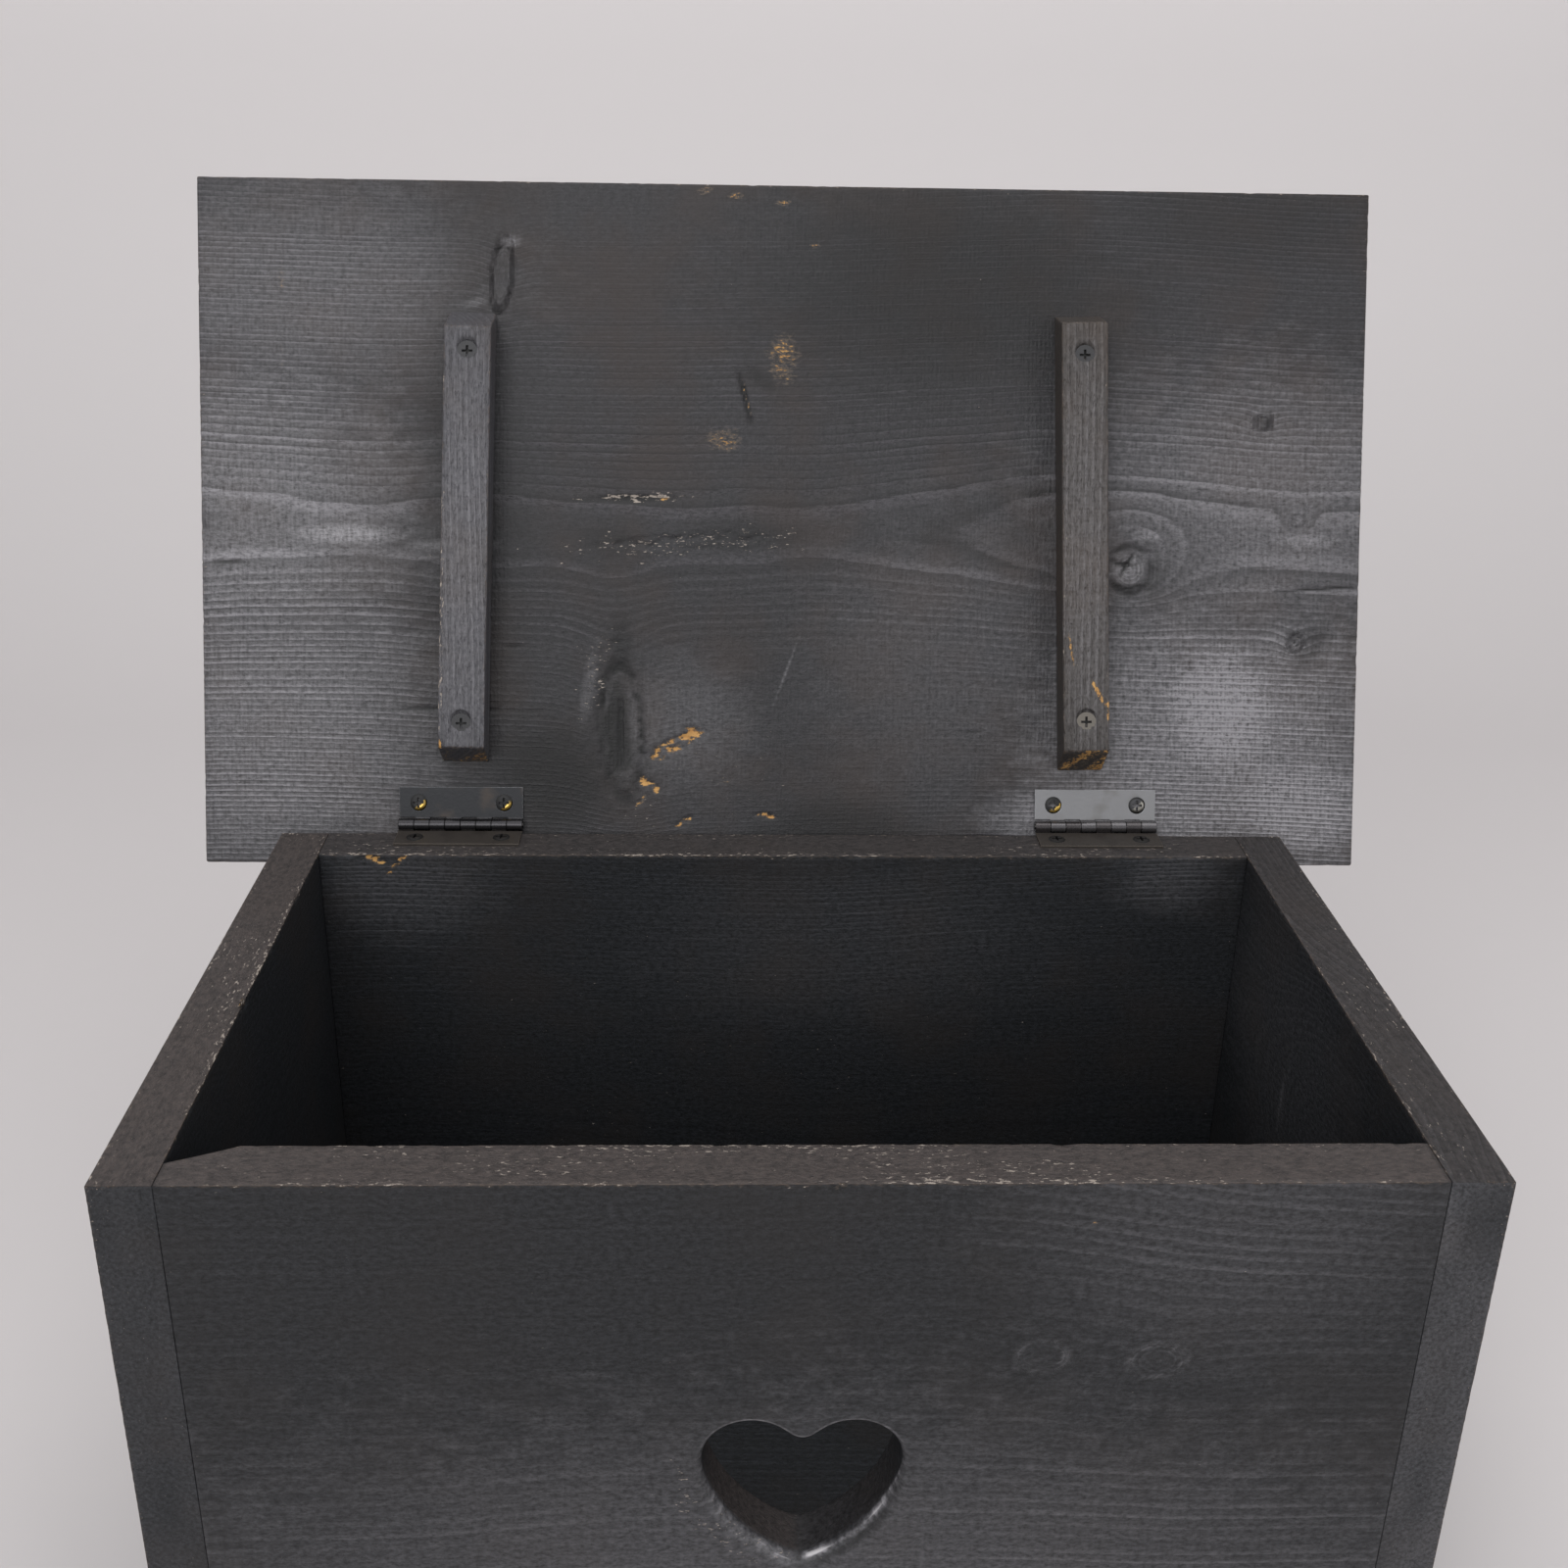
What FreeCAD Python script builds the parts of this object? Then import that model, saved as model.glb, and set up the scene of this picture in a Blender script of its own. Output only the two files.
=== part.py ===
import FreeCAD, Part
import math
import os
import re
import Sketcher

# A wooden toy box with a hinged plank lid, in millimetres. +Z is up and the front faces -Y.
# The origin is the middle of the footprint, on the underside of the bottom board.
# The lid is modelled closed, with its underside level, in a frame on the hinge pins' axis,
# and is then turned open about that axis until its rear edge leans on the back board.

SIZES = {
    # the box
    "box_width": 400.0,
    "box_depth": 233.0,
    "box_height": 226.0,
    "side_thickness": 18.5,
    "front_thickness": 19.3,
    "back_thickness": 20.0,
    "bottom_thickness": 12.0,
    "edge_ease": 0.8,
    # the heart cut through the front board
    "heart_height": 125.3,
    "heart_lobe_radius": 14.9,
    "heart_lobe_spacing": 31.0,
    "heart_side_radius": 50.6,
    "heart_notch_radius": 6.0,
    "heart_tip_radius": 4.0,
    "heart_drop": 40.8,
    "heart_rounding": 3.0,
    # the lid, a single plank
    "lid_width": 463.0,
    "lid_length": 269.0,
    "lid_thickness": 18.0,
    "lid_rear_reach": 15.6,
    "stop_clearance": 0.15,
    # the two butt hinges
    "left_hinge_x": -129.7,
    "right_hinge_x": 125.4,
    "hinge_length": 49.0,
    "leaf_reach": 15.0,
    "leaf_thickness": 1.0,
    "barrel_radius": 2.4,
    "pin_radius": 1.1,
    "pin_proud": 0.4,
    "pin_clearance": 0.05,
    "pin_setback": 3.1,
    "knuckle_gap": 0.2,
    "notch_clearance": 0.5,
    "hinge_screw_spacing": 34.0,
    "hinge_screw_inset": 8.7,
    # the two battens under the lid
    "batten_width": 18.3,
    "batten_thickness": 15.0,
    "left_batten_x": -126.1,
    "left_batten_out": 113.7,
    "left_batten_length": 177.5,
    "left_batten_tilt": 1.2,
    "left_batten_front_bevel": 8.3,
    "left_batten_rear_bevel": 6.4,
    "left_batten_front_inset": 17.7,
    "left_batten_rear_inset": 15.9,
    "right_batten_x": 117.0,
    "right_batten_out": 113.3,
    "right_batten_length": 181.4,
    "right_batten_tilt": -1.2,
    "right_batten_front_bevel": 5.3,
    "right_batten_rear_bevel": 8.6,
    "right_batten_front_inset": 17.9,
    "right_batten_rear_inset": 20.2,
    # screws: heads, shanks and lengths
    "hinge_screw_head_radius": 3.4,
    "hinge_screw_shank_radius": 1.4,
    "hinge_screw_length": 14.0,
    "hinge_screw_rise": 0.4,
    "batten_screw_head_radius": 3.9,
    "batten_screw_shank_radius": 1.9,
    "batten_screw_length": 28.0,
    "bottom_screw_head_radius": 3.6,
    "bottom_screw_shank_radius": 1.75,
    "bottom_screw_length": 35.0,
    "screw_sink": 0.2,
    "recess_reach": 2.1,
    "recess_width": 0.95,
    "recess_depth": 1.5,
    # screws up through the bottom board
    "bottom_screw_front_step": 120.0,
    "bottom_screw_side_step": 110.0,
    # glued dowels in the corner joints
    "dowel_radius": 4.0,
    "dowel_length": 30.0,
    "dowel_side_depth": 11.0,
    "dowel_margin": 34.0,
}

KNUCKLES = 8
COUNTERSINK_DEGREES = 90.0
DOWELS_PER_CORNER = 3
BOTTOM_SCREWS_PER_LONG_SIDE = 3

# Sizes that follow from the driving ones.
WALL_HEIGHT = "(box_height - bottom_thickness)"
INNER_WIDTH = "(box_width - 2 * side_thickness)"
FRONT_MIDDLE = "(-box_depth / 2 + front_thickness / 2)"
BACK_MIDDLE = "(box_depth / 2 - back_thickness / 2)"
SIDE_MIDDLE = "(box_width / 2 - side_thickness / 2)"
PIN_Y = "(box_depth / 2 + pin_setback)"
PIN_Z = "(box_height + barrel_radius)"
KNUCKLE_PITCH = f"(hinge_length / {KNUCKLES})"
HEART_LEVEL = "(heart_height - bottom_thickness)"
HEART_TIP_LEVEL = f"({HEART_LEVEL} - heart_drop + heart_tip_radius)"
# Open, the lid's lower rear edge rests against the rear face of the back board.
OPEN_ANGLE = (
    "(90 deg + atan(barrel_radius / lid_rear_reach)"
    " + asin((pin_setback - stop_clearance) / sqrt(lid_rear_reach ^ 2 + barrel_radius ^ 2)))"
)
LID_FRAME = f"placement(vector(0; {PIN_Y}; {PIN_Z}); rotation(vector(1; 0; 0); -{OPEN_ANGLE}))"
TURNED_UP = "rotation(vector(1; 0; 0); 180 deg)"
UNTURNED = "rotation(vector(0; 0; 1); 0 deg)"

doc = FreeCAD.newDocument("toy_box")
sheet = doc.addObject("Spreadsheet::Sheet", "Sizes")
pieces = []


def fill_sheet():
    """Write every driving size to the sheet, with its name as the alias."""
    for row, (alias, value) in enumerate(SIZES.items(), start=1):
        sheet.set(f"A{row}", alias)
        sheet.set(f"B{row}", str(value))
        sheet.setAlias(f"B{row}", alias)
    doc.recompute()


def formula(text):
    """Turn the sizes' names in an expression into references to the sheet."""
    return re.sub(r"\b([a-z]+(?:_[a-z]+)+)\b", r"Sizes.\1", str(text))


def bind(thing, prop, text):
    thing.setExpression(prop, formula(text))


def new_piece(label):
    """Start one piece of the box, with its own label."""
    body = doc.addObject("PartDesign::Body", label)
    body.Label = label
    pieces.append(body)
    return body


def place(body, x, y, z, turn=UNTURNED, frame=None):
    """Put a piece at a point of the box's frame, or of the frame given."""
    spot = f"placement(vector({x}; {y}; {z}); {turn})"
    bind(body, "Placement", f"{frame} * {spot}" if frame else spot)


def new_sketch(body, name, role, offset="0"):
    """Add a sketch on one of the body's origin planes, moved along the plane's normal."""
    plane = next(item for item in body.Origin.OriginFeatures if item.Role == role)
    sketch = body.newObject("Sketcher::SketchObject", name)
    sketch.AttachmentSupport = (plane, [""])
    sketch.MapMode = "FlatFace"
    bind(sketch, "AttachmentOffset.Base.z", f"1 mm * ({offset})")
    return sketch


def pin_point(sketch, geometry, vertex, x, y):
    """Hold a point of the sketch at the distances given from the sketch's origin."""
    for kind, text in (("DistanceX", x), ("DistanceY", y)):
        held = Sketcher.Constraint(kind, -1, 1, geometry, vertex, number(text))
        index = sketch.addConstraint(held)
        bind(sketch, f"Constraints[{index}]", f"1 mm * ({text})")


def draw_outline(sketch, corners):
    """Draw a closed outline of straight lines through the corners."""
    count = len(corners)
    first = sketch.GeometryCount
    spots = [FreeCAD.Vector(number(x), number(y), 0) for x, y in corners]
    for index in range(count):
        sketch.addGeometry(Part.LineSegment(spots[index], spots[(index + 1) % count]))
    for index, (x, y) in enumerate(corners):
        after = first + (index + 1) % count
        sketch.addConstraint(Sketcher.Constraint("Coincident", first + index, 2, after, 1))
        pin_point(sketch, first + index, 1, x, y)


def hold_radius(sketch, geometry, radius):
    index = sketch.addConstraint(Sketcher.Constraint("Radius", geometry, number(radius)))
    bind(sketch, f"Constraints[{index}]", f"1 mm * ({radius})")


def draw_circle(sketch, x, y, radius):
    """Draw a circle about a point held from the sketch's origin."""
    middle = FreeCAD.Vector(number(x), number(y), 0)
    circle = Part.Circle(middle, FreeCAD.Vector(0, 0, 1), number(radius))
    geometry = sketch.addGeometry(circle)
    pin_point(sketch, geometry, 3, x, y)
    hold_radius(sketch, geometry, radius)


def number(text):
    """Work out an expression of the sizes as a plain number."""
    value = sheet.evalExpression(formula(text))
    return float(getattr(value, "Value", value))


def box_corners(x_low, x_high, y_low, y_high):
    return [(x_low, y_low), (x_high, y_low), (x_high, y_high), (x_low, y_high)]


def pad(body, sketch, length, midplane=False):
    feature = body.newObject("PartDesign::Pad", f"{sketch.Name}_pad")
    feature.Profile = sketch
    feature.Midplane = midplane
    bind(feature, "Length", f"1 mm * ({length})")
    doc.recompute()
    return feature


def check_cut(body, feature, before):
    """Stop if a cut took nothing away."""
    doc.recompute()
    if feature.Shape.isNull() or feature.Shape.Volume > before - 1e-3:
        raise RuntimeError(f"{feature.Name} cut nothing from {body.Label}")


def pocket_through(body, sketch):
    """Cut a sketch right through the body, both ways from its plane."""
    before = body.Shape.Volume
    feature = body.newObject("PartDesign::Pocket", f"{sketch.Name}_pocket")
    feature.Profile = sketch
    feature.Type = "ThroughAll"
    feature.Midplane = True
    check_cut(body, feature, before)
    return feature


def pocket_blind(body, sketch, depth, reverse=False):
    before = body.Shape.Volume
    feature = body.newObject("PartDesign::Pocket", f"{sketch.Name}_pocket")
    feature.Profile = sketch
    feature.Reversed = reverse
    bind(feature, "Length", f"1 mm * ({depth})")
    check_cut(body, feature, before)


def drill(body, name, role, offset, spots, radius, depth, reverse=False, sink=None):
    """Drill holes of one size from a plane, with a countersink of the radius sink."""
    sketch = new_sketch(body, name, role, offset)
    for x, y in spots:
        draw_circle(sketch, x, y, radius)
    doc.recompute()
    before = body.Shape.Volume
    hole = body.newObject("PartDesign::Hole", f"{name}_hole")
    hole.Profile = sketch
    hole.Reversed = reverse
    doc.recompute()
    hole.ThreadType = "None"
    hole.DepthType = "Dimension"
    hole.DrillPoint = "Flat"
    bind(hole, "Diameter", f"2 mm * ({radius})")
    bind(hole, "Depth", f"1 mm * ({depth})")
    if sink:
        hole.HoleCutType = "Countersink"
        hole.HoleCutCountersinkAngle = COUNTERSINK_DEGREES
        bind(hole, "HoleCutDiameter", f"2 mm * ({sink})")
    check_cut(body, hole, before)


def ease_edges(body, name, radius, wanted):
    """Round the edges of the body's last feature for which wanted(edge) is true."""
    base = body.Tip
    names = [f"Edge{i}" for i, edge in enumerate(base.Shape.Edges, start=1) if wanted(edge)]
    feature = body.newObject("PartDesign::Fillet", name)
    feature.Base = (base, names)
    bind(feature, "Radius", f"1 mm * ({radius})")
    doc.recompute()
    return feature


def runs_along(edge, axis):
    """Say whether a straight edge runs along one of the axes x, y and z."""
    reach = edge.BoundBox
    spans = {"x": reach.XLength, "y": reach.YLength, "z": reach.ZLength}
    return all((spans[key] > 1e-4) == (key == axis) for key in spans)


def board(label, width, depth, height):
    """Make a plain board standing on its own XY plane, centred on its Z axis."""
    body = new_piece(label)
    sketch = new_sketch(body, f"{label}_outline", "XY_Plane")
    half_width, half_depth = f"({width}) / 2", f"({depth}) / 2"
    draw_outline(sketch, box_corners(f"-({half_width})", half_width, f"-({half_depth})", half_depth))
    pad(body, sketch, height)
    return body


def dowel_heights():
    """Give the heights of a corner's dowels above the walls' lower edges."""
    steps = DOWELS_PER_CORNER - 1
    span = f"({WALL_HEIGHT} - 2 * dowel_margin)"
    return [f"(dowel_margin + {span} * {index} / {steps})" for index in range(DOWELS_PER_CORNER)]


def long_side_screw_spots():
    """Give the places along X of the bottom screws under the front and back boards."""
    middle = (BOTTOM_SCREWS_PER_LONG_SIDE - 1) / 2
    return [f"({index - middle} * bottom_screw_front_step)" for index in range(BOTTOM_SCREWS_PER_LONG_SIDE)]


def bottom_screw_spots():
    """Give the place of every screw that goes up through the bottom board."""
    spots = [(x, y) for y in (FRONT_MIDDLE, BACK_MIDDLE) for x in long_side_screw_spots()]
    for side in (-1, 1):
        for end in (-1, 1):
            spots.append((f"({side} * {SIDE_MIDDLE})", f"({end} * bottom_screw_side_step / 2)"))
    return spots


SCREW_BITE = "(bottom_screw_length + screw_sink - bottom_thickness)"


def drill_wall_foot(body, spots):
    """Drill a wall's lower edge for the screws that come up through the bottom board."""
    drill(body, f"{body.Label}_foot", "XY_Plane", "0", spots, "bottom_screw_shank_radius", SCREW_BITE, True)


def make_long_wall(label, thickness, middle):
    """Make the front or back board: it stands between the sides, dowelled at both ends."""
    body = board(label, INNER_WIDTH, thickness, WALL_HEIGHT)
    place(body, 0, middle, "bottom_thickness")
    top = number(WALL_HEIGHT)
    ease_edges(body, f"{label}_ease", "edge_ease",
               lambda edge: runs_along(edge, "x") and edge.BoundBox.ZMin > top - 1e-3)
    spots = [("0", height) for height in dowel_heights()]
    depth = "(dowel_length - dowel_side_depth)"
    end = f"{INNER_WIDTH} / 2"
    drill(body, f"{label}_right", "YZ_Plane", end, spots, "dowel_radius", depth)
    drill(body, f"{label}_left", "YZ_Plane", f"-{end}", spots, "dowel_radius", depth, True)
    drill_wall_foot(body, [(x, "0") for x in long_side_screw_spots()])
    return body


def make_side(label, side):
    """Make a side board, as deep as the box, with blind dowel holes in its inner face."""
    body = board(label, "side_thickness", "box_depth", WALL_HEIGHT)
    place(body, f"{side} * {SIDE_MIDDLE}", 0, "bottom_thickness")
    top = number(WALL_HEIGHT)
    outer = side * number("side_thickness / 2")

    def showing(edge):
        rim = runs_along(edge, "y") and edge.BoundBox.ZMin > top - 1e-3
        corner = runs_along(edge, "z") and abs(edge.BoundBox.XMin - outer) < 1e-3
        return rim or corner

    ease_edges(body, f"{label}_ease", "edge_ease", showing)
    spots = [(y, height) for y in (FRONT_MIDDLE, BACK_MIDDLE) for height in dowel_heights()]
    drill(body, f"{label}_dowels", "YZ_Plane", f"{-side} * side_thickness / 2", spots,
          "dowel_radius", "dowel_side_depth", side > 0)
    drill_wall_foot(body, [("0", f"{end} * bottom_screw_side_step / 2") for end in (-1, 1)])
    return body


def add_arc(sketch, middle, radius, start, end):
    """Add an arc about a point, anticlockwise between the directions of two other points."""
    angles = [math.atan2(spot[1] - middle[1], spot[0] - middle[0]) for spot in (start, end)]
    circle = Part.Circle(FreeCAD.Vector(*middle, 0), FreeCAD.Vector(0, 0, 1), radius)
    sketch.addGeometry(Part.ArcOfCircle(circle, angles[0], angles[1]))


def meeting_point(first, first_radius, second, second_radius):
    """Give the point on the left where two circles about the points given cross."""
    across, along = second[0] - first[0], second[1] - first[1]
    gap = math.hypot(across, along)
    run = (first_radius ** 2 - second_radius ** 2 + gap ** 2) / (2 * gap)
    rise = math.sqrt(first_radius ** 2 - run ** 2)
    x = first[0] + (run * across + rise * along) / gap
    y = first[1] + (run * along - rise * across) / gap
    return x, y


def draw_heart(body):
    """Draw the heart: two lobes, two long sides, a rounded notch and a blunt tip, all tangent."""
    sketch = new_sketch(body, "heart_outline", "XZ_Plane")
    lobe, notch, side, tip = (number(f"heart_{name}_radius") for name in ("lobe", "notch", "side", "tip"))
    reach = number("heart_lobe_spacing / 2")
    level = number(HEART_LEVEL)
    right, left = (reach, level), (-reach, level)
    top = (0.0, level + math.sqrt((lobe + notch) ** 2 - reach ** 2))
    low = (0.0, number(HEART_TIP_LEVEL))
    far = meeting_point(right, side - lobe, low, side - tip)
    near = (-far[0], far[1])
    beyond = [(2 * spot[0] - far[0], 2 * spot[1] - far[1]) for spot in (right, low)]
    mirrored = [(-x, y) for x, y in beyond]
    add_arc(sketch, low, tip, mirrored[1], beyond[1])
    add_arc(sketch, far, side, beyond[1], beyond[0])
    add_arc(sketch, right, lobe, beyond[0], top)
    add_arc(sketch, top, notch, left, right)
    add_arc(sketch, left, lobe, top, mirrored[0])
    add_arc(sketch, near, side, mirrored[0], mirrored[1])
    joints = ((0, 2, 1, 1), (1, 2, 2, 1), (2, 2, 3, 2), (3, 1, 4, 1), (4, 2, 5, 1), (5, 2, 0, 1))
    for joint in joints:
        sketch.addConstraint(Sketcher.Constraint("Tangent", *joint))
    for geometry, name in enumerate(("tip", "side", "lobe", "notch", "lobe", "side")):
        hold_radius(sketch, geometry, f"heart_{name}_radius")
    pin_point(sketch, 0, 3, "0", HEART_TIP_LEVEL)
    pin_point(sketch, 2, 3, "heart_lobe_spacing / 2", HEART_LEVEL)
    pin_point(sketch, 4, 3, "-heart_lobe_spacing / 2", HEART_LEVEL)
    doc.recompute()
    return sketch


def round_heart(body):
    """Round over the heart's edge on the front face."""
    face = -number("front_thickness / 2")
    reach = number("heart_lobe_spacing / 2 + heart_lobe_radius") + 1.0

    def around_heart(edge):
        flat = abs(edge.BoundBox.YMax - face) < 1e-3 and edge.BoundBox.YLength < 1e-3
        return flat and max(-edge.BoundBox.XMin, edge.BoundBox.XMax) < reach

    ease_edges(body, "heart_round", "heart_rounding", around_heart)


def phillips_recess(body, top):
    """Cut a cross recess down from the top of a screw's head."""
    sketch = new_sketch(body, f"{body.Label}_recess", "XY_Plane", top)
    wide, slim = "recess_reach", "recess_width / 2"
    quarter = [(wide, slim), (slim, slim), (slim, wide)]
    corners = []
    for x_sign, y_sign, order in ((1, 1, 1), (-1, 1, -1), (-1, -1, 1), (1, -1, -1)):
        corners += [(f"{x_sign} * {x}", f"{y_sign} * {y}") for x, y in quarter[::order]]
    draw_outline(sketch, corners)
    pocket_blind(body, sketch, "recess_depth")


def make_screw(label, kind, rise=None):
    """Make a countersunk screw, its head's rim level with z = 0 and its point down."""
    body = new_piece(label)
    head, shank, length = (f"{kind}_screw_{size}" for size in ("head_radius", "shank_radius", "length"))
    crown = [("0", rise), (f"0.6 * {head}", rise)] if rise else [("0", "0")]
    profile = crown + [
        (head, "0"),
        (shank, f"-({head} - {shank})"),
        (shank, f"-({length} - 2 * {shank})"),
        ("0", f"-{length}"),
    ]
    sketch = new_sketch(body, f"{label}_profile", "XZ_Plane")
    draw_outline(sketch, profile)
    turned = body.newObject("PartDesign::Revolution", f"{label}_turned")
    turned.Profile = sketch
    turned.ReferenceAxis = (sketch, ["V_Axis"])
    turned.Angle = 360.0
    doc.recompute()
    phillips_recess(body, rise or "0")
    return body


def make_leaf(label, bottom, own, bore):
    """Make a hinge leaf in the pin's frame, its plate under the pin or over it.

    own is 0 where the leaf's knuckles start at the left end of the hinge, or 1 where the
    other leaf's do.
    """
    body = new_piece(label)
    face = "-barrel_radius" if bottom else "barrel_radius"
    inner = "-barrel_radius + leaf_thickness" if bottom else "barrel_radius - leaf_thickness"
    low, high = (face, inner) if bottom else (inner, face)
    plate = new_sketch(body, f"{label}_plate", "YZ_Plane")
    draw_outline(plate, box_corners("-leaf_reach", "0", low, high))
    pad(body, plate, "hinge_length", midplane=True)
    barrel = new_sketch(body, f"{label}_barrel", "YZ_Plane")
    draw_circle(barrel, "0", "0", "barrel_radius")
    pad(body, barrel, "hinge_length", midplane=True)
    hole = new_sketch(body, f"{label}_bore", "YZ_Plane")
    draw_circle(hole, "0", "0", bore)
    pocket_through(body, hole)
    notches = new_sketch(body, f"{label}_notches", "XY_Plane")
    for knuckle in range(1 - own, KNUCKLES, 2):
        start = f"(-hinge_length / 2 + {knuckle} * {KNUCKLE_PITCH})"
        left = f"{start} - 1" if knuckle == 0 else f"{start} - knuckle_gap / 2"
        right = f"{start} + {KNUCKLE_PITCH}"
        right += " + 1" if knuckle == KNUCKLES - 1 else " + knuckle_gap / 2"
        edge = "-(barrel_radius + notch_clearance)"
        draw_outline(notches, box_corners(left, right, edge, "barrel_radius + 1"))
    pocket_through(body, notches)
    spots = [(f"{way} * hinge_screw_spacing / 2", "-hinge_screw_inset") for way in (-1, 1)]
    drill(body, f"{label}_screws", "XY_Plane", inner, spots, "hinge_screw_shank_radius",
          "leaf_thickness + hinge_screw_head_radius", not bottom, "hinge_screw_head_radius")
    return body


def make_hinge(side):
    """Make one hinge: both leaves, the pin through their knuckles and their four screws."""
    across = f"{side}_hinge_x"
    box_leaf = make_leaf(f"{side}_hinge_box_leaf", True, 0, "pin_radius")
    place(box_leaf, across, PIN_Y, PIN_Z)
    lid_leaf = make_leaf(f"{side}_hinge_lid_leaf", False, 1, "pin_radius + pin_clearance")
    place(lid_leaf, across, 0, 0, frame=LID_FRAME)
    pin = new_piece(f"{side}_hinge_pin")
    section = new_sketch(pin, f"{side}_pin_section", "YZ_Plane")
    draw_circle(section, "0", "0", "pin_radius")
    pad(pin, section, "hinge_length + 2 * pin_proud", midplane=True)
    ease_edges(pin, f"{side}_pin_ends", "pin_proud / 2", lambda edge: edge.BoundBox.XLength < 1e-3)
    place(pin, across, PIN_Y, PIN_Z)
    for index, way in enumerate((-1, 1), start=1):
        x = f"{across} + {way} * hinge_screw_spacing / 2"
        screw = make_screw(f"{side}_hinge_box_screw_{index}", "hinge", "hinge_screw_rise")
        place(screw, x, f"{PIN_Y} - hinge_screw_inset", "box_height + leaf_thickness")
        screw = make_screw(f"{side}_hinge_lid_screw_{index}", "hinge", "hinge_screw_rise")
        place(screw, x, "-hinge_screw_inset", "barrel_radius - leaf_thickness", TURNED_UP, LID_FRAME)


def batten_screw_run(side, end):
    """Give a batten screw's distance from the batten's middle, towards the front."""
    half = f"{side}_batten_length / 2"
    return f"({half} - {side}_batten_front_inset)" if end == "front" else f"({side}_batten_rear_inset - {half})"


def batten_screw_spot(side, end):
    """Give a batten screw's place across and along the lid, in the lid's frame."""
    run = batten_screw_run(side, end)
    x = f"({side}_batten_x + {run} * sin({side}_batten_tilt))"
    y = f"(-{side}_batten_out - {run} * cos({side}_batten_tilt))"
    return x, y


def make_batten(side):
    """Make one batten with bevelled ends, screwed flat to the lid's underside."""
    label = f"{side}_batten"
    body = new_piece(label)
    half = f"{label}_length / 2"
    sketch = new_sketch(body, f"{label}_profile", "YZ_Plane")
    draw_outline(sketch, [
        (f"-{half}", "0"),
        (f"-({half} - {label}_front_bevel)", "-batten_thickness"),
        (f"({half} - {label}_rear_bevel)", "-batten_thickness"),
        (half, "0"),
    ])
    pad(body, sketch, "batten_width", midplane=True)
    depth = number("batten_thickness")
    ease_edges(body, f"{label}_ease", "edge_ease",
               lambda edge: edge.BoundBox.ZMin < -depth + 1e-3 and edge.BoundBox.ZLength < 1e-3)
    spots = [("0", f"-{batten_screw_run(side, end)}") for end in ("front", "rear")]
    drill(body, f"{label}_holes", "XY_Plane", "-(batten_thickness - screw_sink)", spots,
          "batten_screw_shank_radius", "batten_thickness - screw_sink", True, "batten_screw_head_radius")
    mouth = new_sketch(body, f"{label}_mouths", "XY_Plane", "-batten_thickness")
    for x, y in spots:
        draw_circle(mouth, x, y, "batten_screw_head_radius")
    pocket_blind(body, mouth, "screw_sink", reverse=True)
    turn = f"rotation(vector(0; 0; 1); 1 deg * {label}_tilt)"
    place(body, f"{label}_x", f"-{label}_out", "barrel_radius", turn, LID_FRAME)
    for end in ("front", "rear"):
        screw = make_screw(f"{label}_screw_{end}", "batten")
        x, y = batten_screw_spot(side, end)
        height = "barrel_radius - batten_thickness + screw_sink"
        place(screw, x, y, height, TURNED_UP, LID_FRAME)


def make_lid_board():
    """Make the lid's plank, drilled for the hinges' and the battens' screws."""
    body = board("lid_board", "lid_width", "lid_length", "lid_thickness")
    ease_edges(body, "lid_board_ease", "edge_ease", lambda edge: True)
    middle = "(lid_rear_reach - lid_length / 2)"
    place(body, 0, middle, "barrel_radius", frame=LID_FRAME)
    spots = [(f"{side}_hinge_x + {way} * hinge_screw_spacing / 2", f"-hinge_screw_inset - {middle}")
             for side in ("left", "right") for way in (-1, 1)]
    drill(body, "lid_hinge_screws", "XY_Plane", "0", spots, "hinge_screw_shank_radius",
          "hinge_screw_length - leaf_thickness", True, "hinge_screw_head_radius - leaf_thickness")
    spots = [batten_screw_spot(side, end) for side in ("left", "right") for end in ("front", "rear")]
    spots = [(x, f"{y} - {middle}") for x, y in spots]
    drill(body, "lid_batten_screws", "XY_Plane", "0", spots, "batten_screw_shank_radius",
          "batten_screw_length + screw_sink - batten_thickness", True)


def make_bottom():
    """Make the bottom board and the screws that hold it up against the walls."""
    body = board("bottom_board", "box_width", "box_depth", "bottom_thickness")
    spots = bottom_screw_spots()
    drill(body, "bottom_screw_holes", "XY_Plane", "screw_sink", spots, "bottom_screw_shank_radius",
          "bottom_thickness - screw_sink", True, "bottom_screw_head_radius")
    mouth = new_sketch(body, "bottom_screw_mouths", "XY_Plane")
    for x, y in spots:
        draw_circle(mouth, x, y, "bottom_screw_head_radius")
    pocket_blind(body, mouth, "screw_sink", reverse=True)
    place(body, 0, 0, 0)
    for index, (x, y) in enumerate(spots, start=1):
        place(make_screw(f"bottom_screw_{index}", "bottom"), x, y, "screw_sink", TURNED_UP)


def make_dowels():
    """Make the glued dowels that join the side boards to the front and back boards."""
    for row, middle in (("front", FRONT_MIDDLE), ("back", BACK_MIDDLE)):
        for hand, side in (("left", -1), ("right", 1)):
            for index, height in enumerate(dowel_heights(), start=1):
                body = new_piece(f"{row}_{hand}_dowel_{index}")
                section = new_sketch(body, f"{body.Label}_section", "YZ_Plane")
                draw_circle(section, "0", "0", "dowel_radius")
                pad(body, section, "dowel_length", midplane=True)
                x = f"{side} * ({INNER_WIDTH} / 2 + dowel_side_depth - dowel_length / 2)"
                place(body, x, middle, f"bottom_thickness + {height}")


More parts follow.
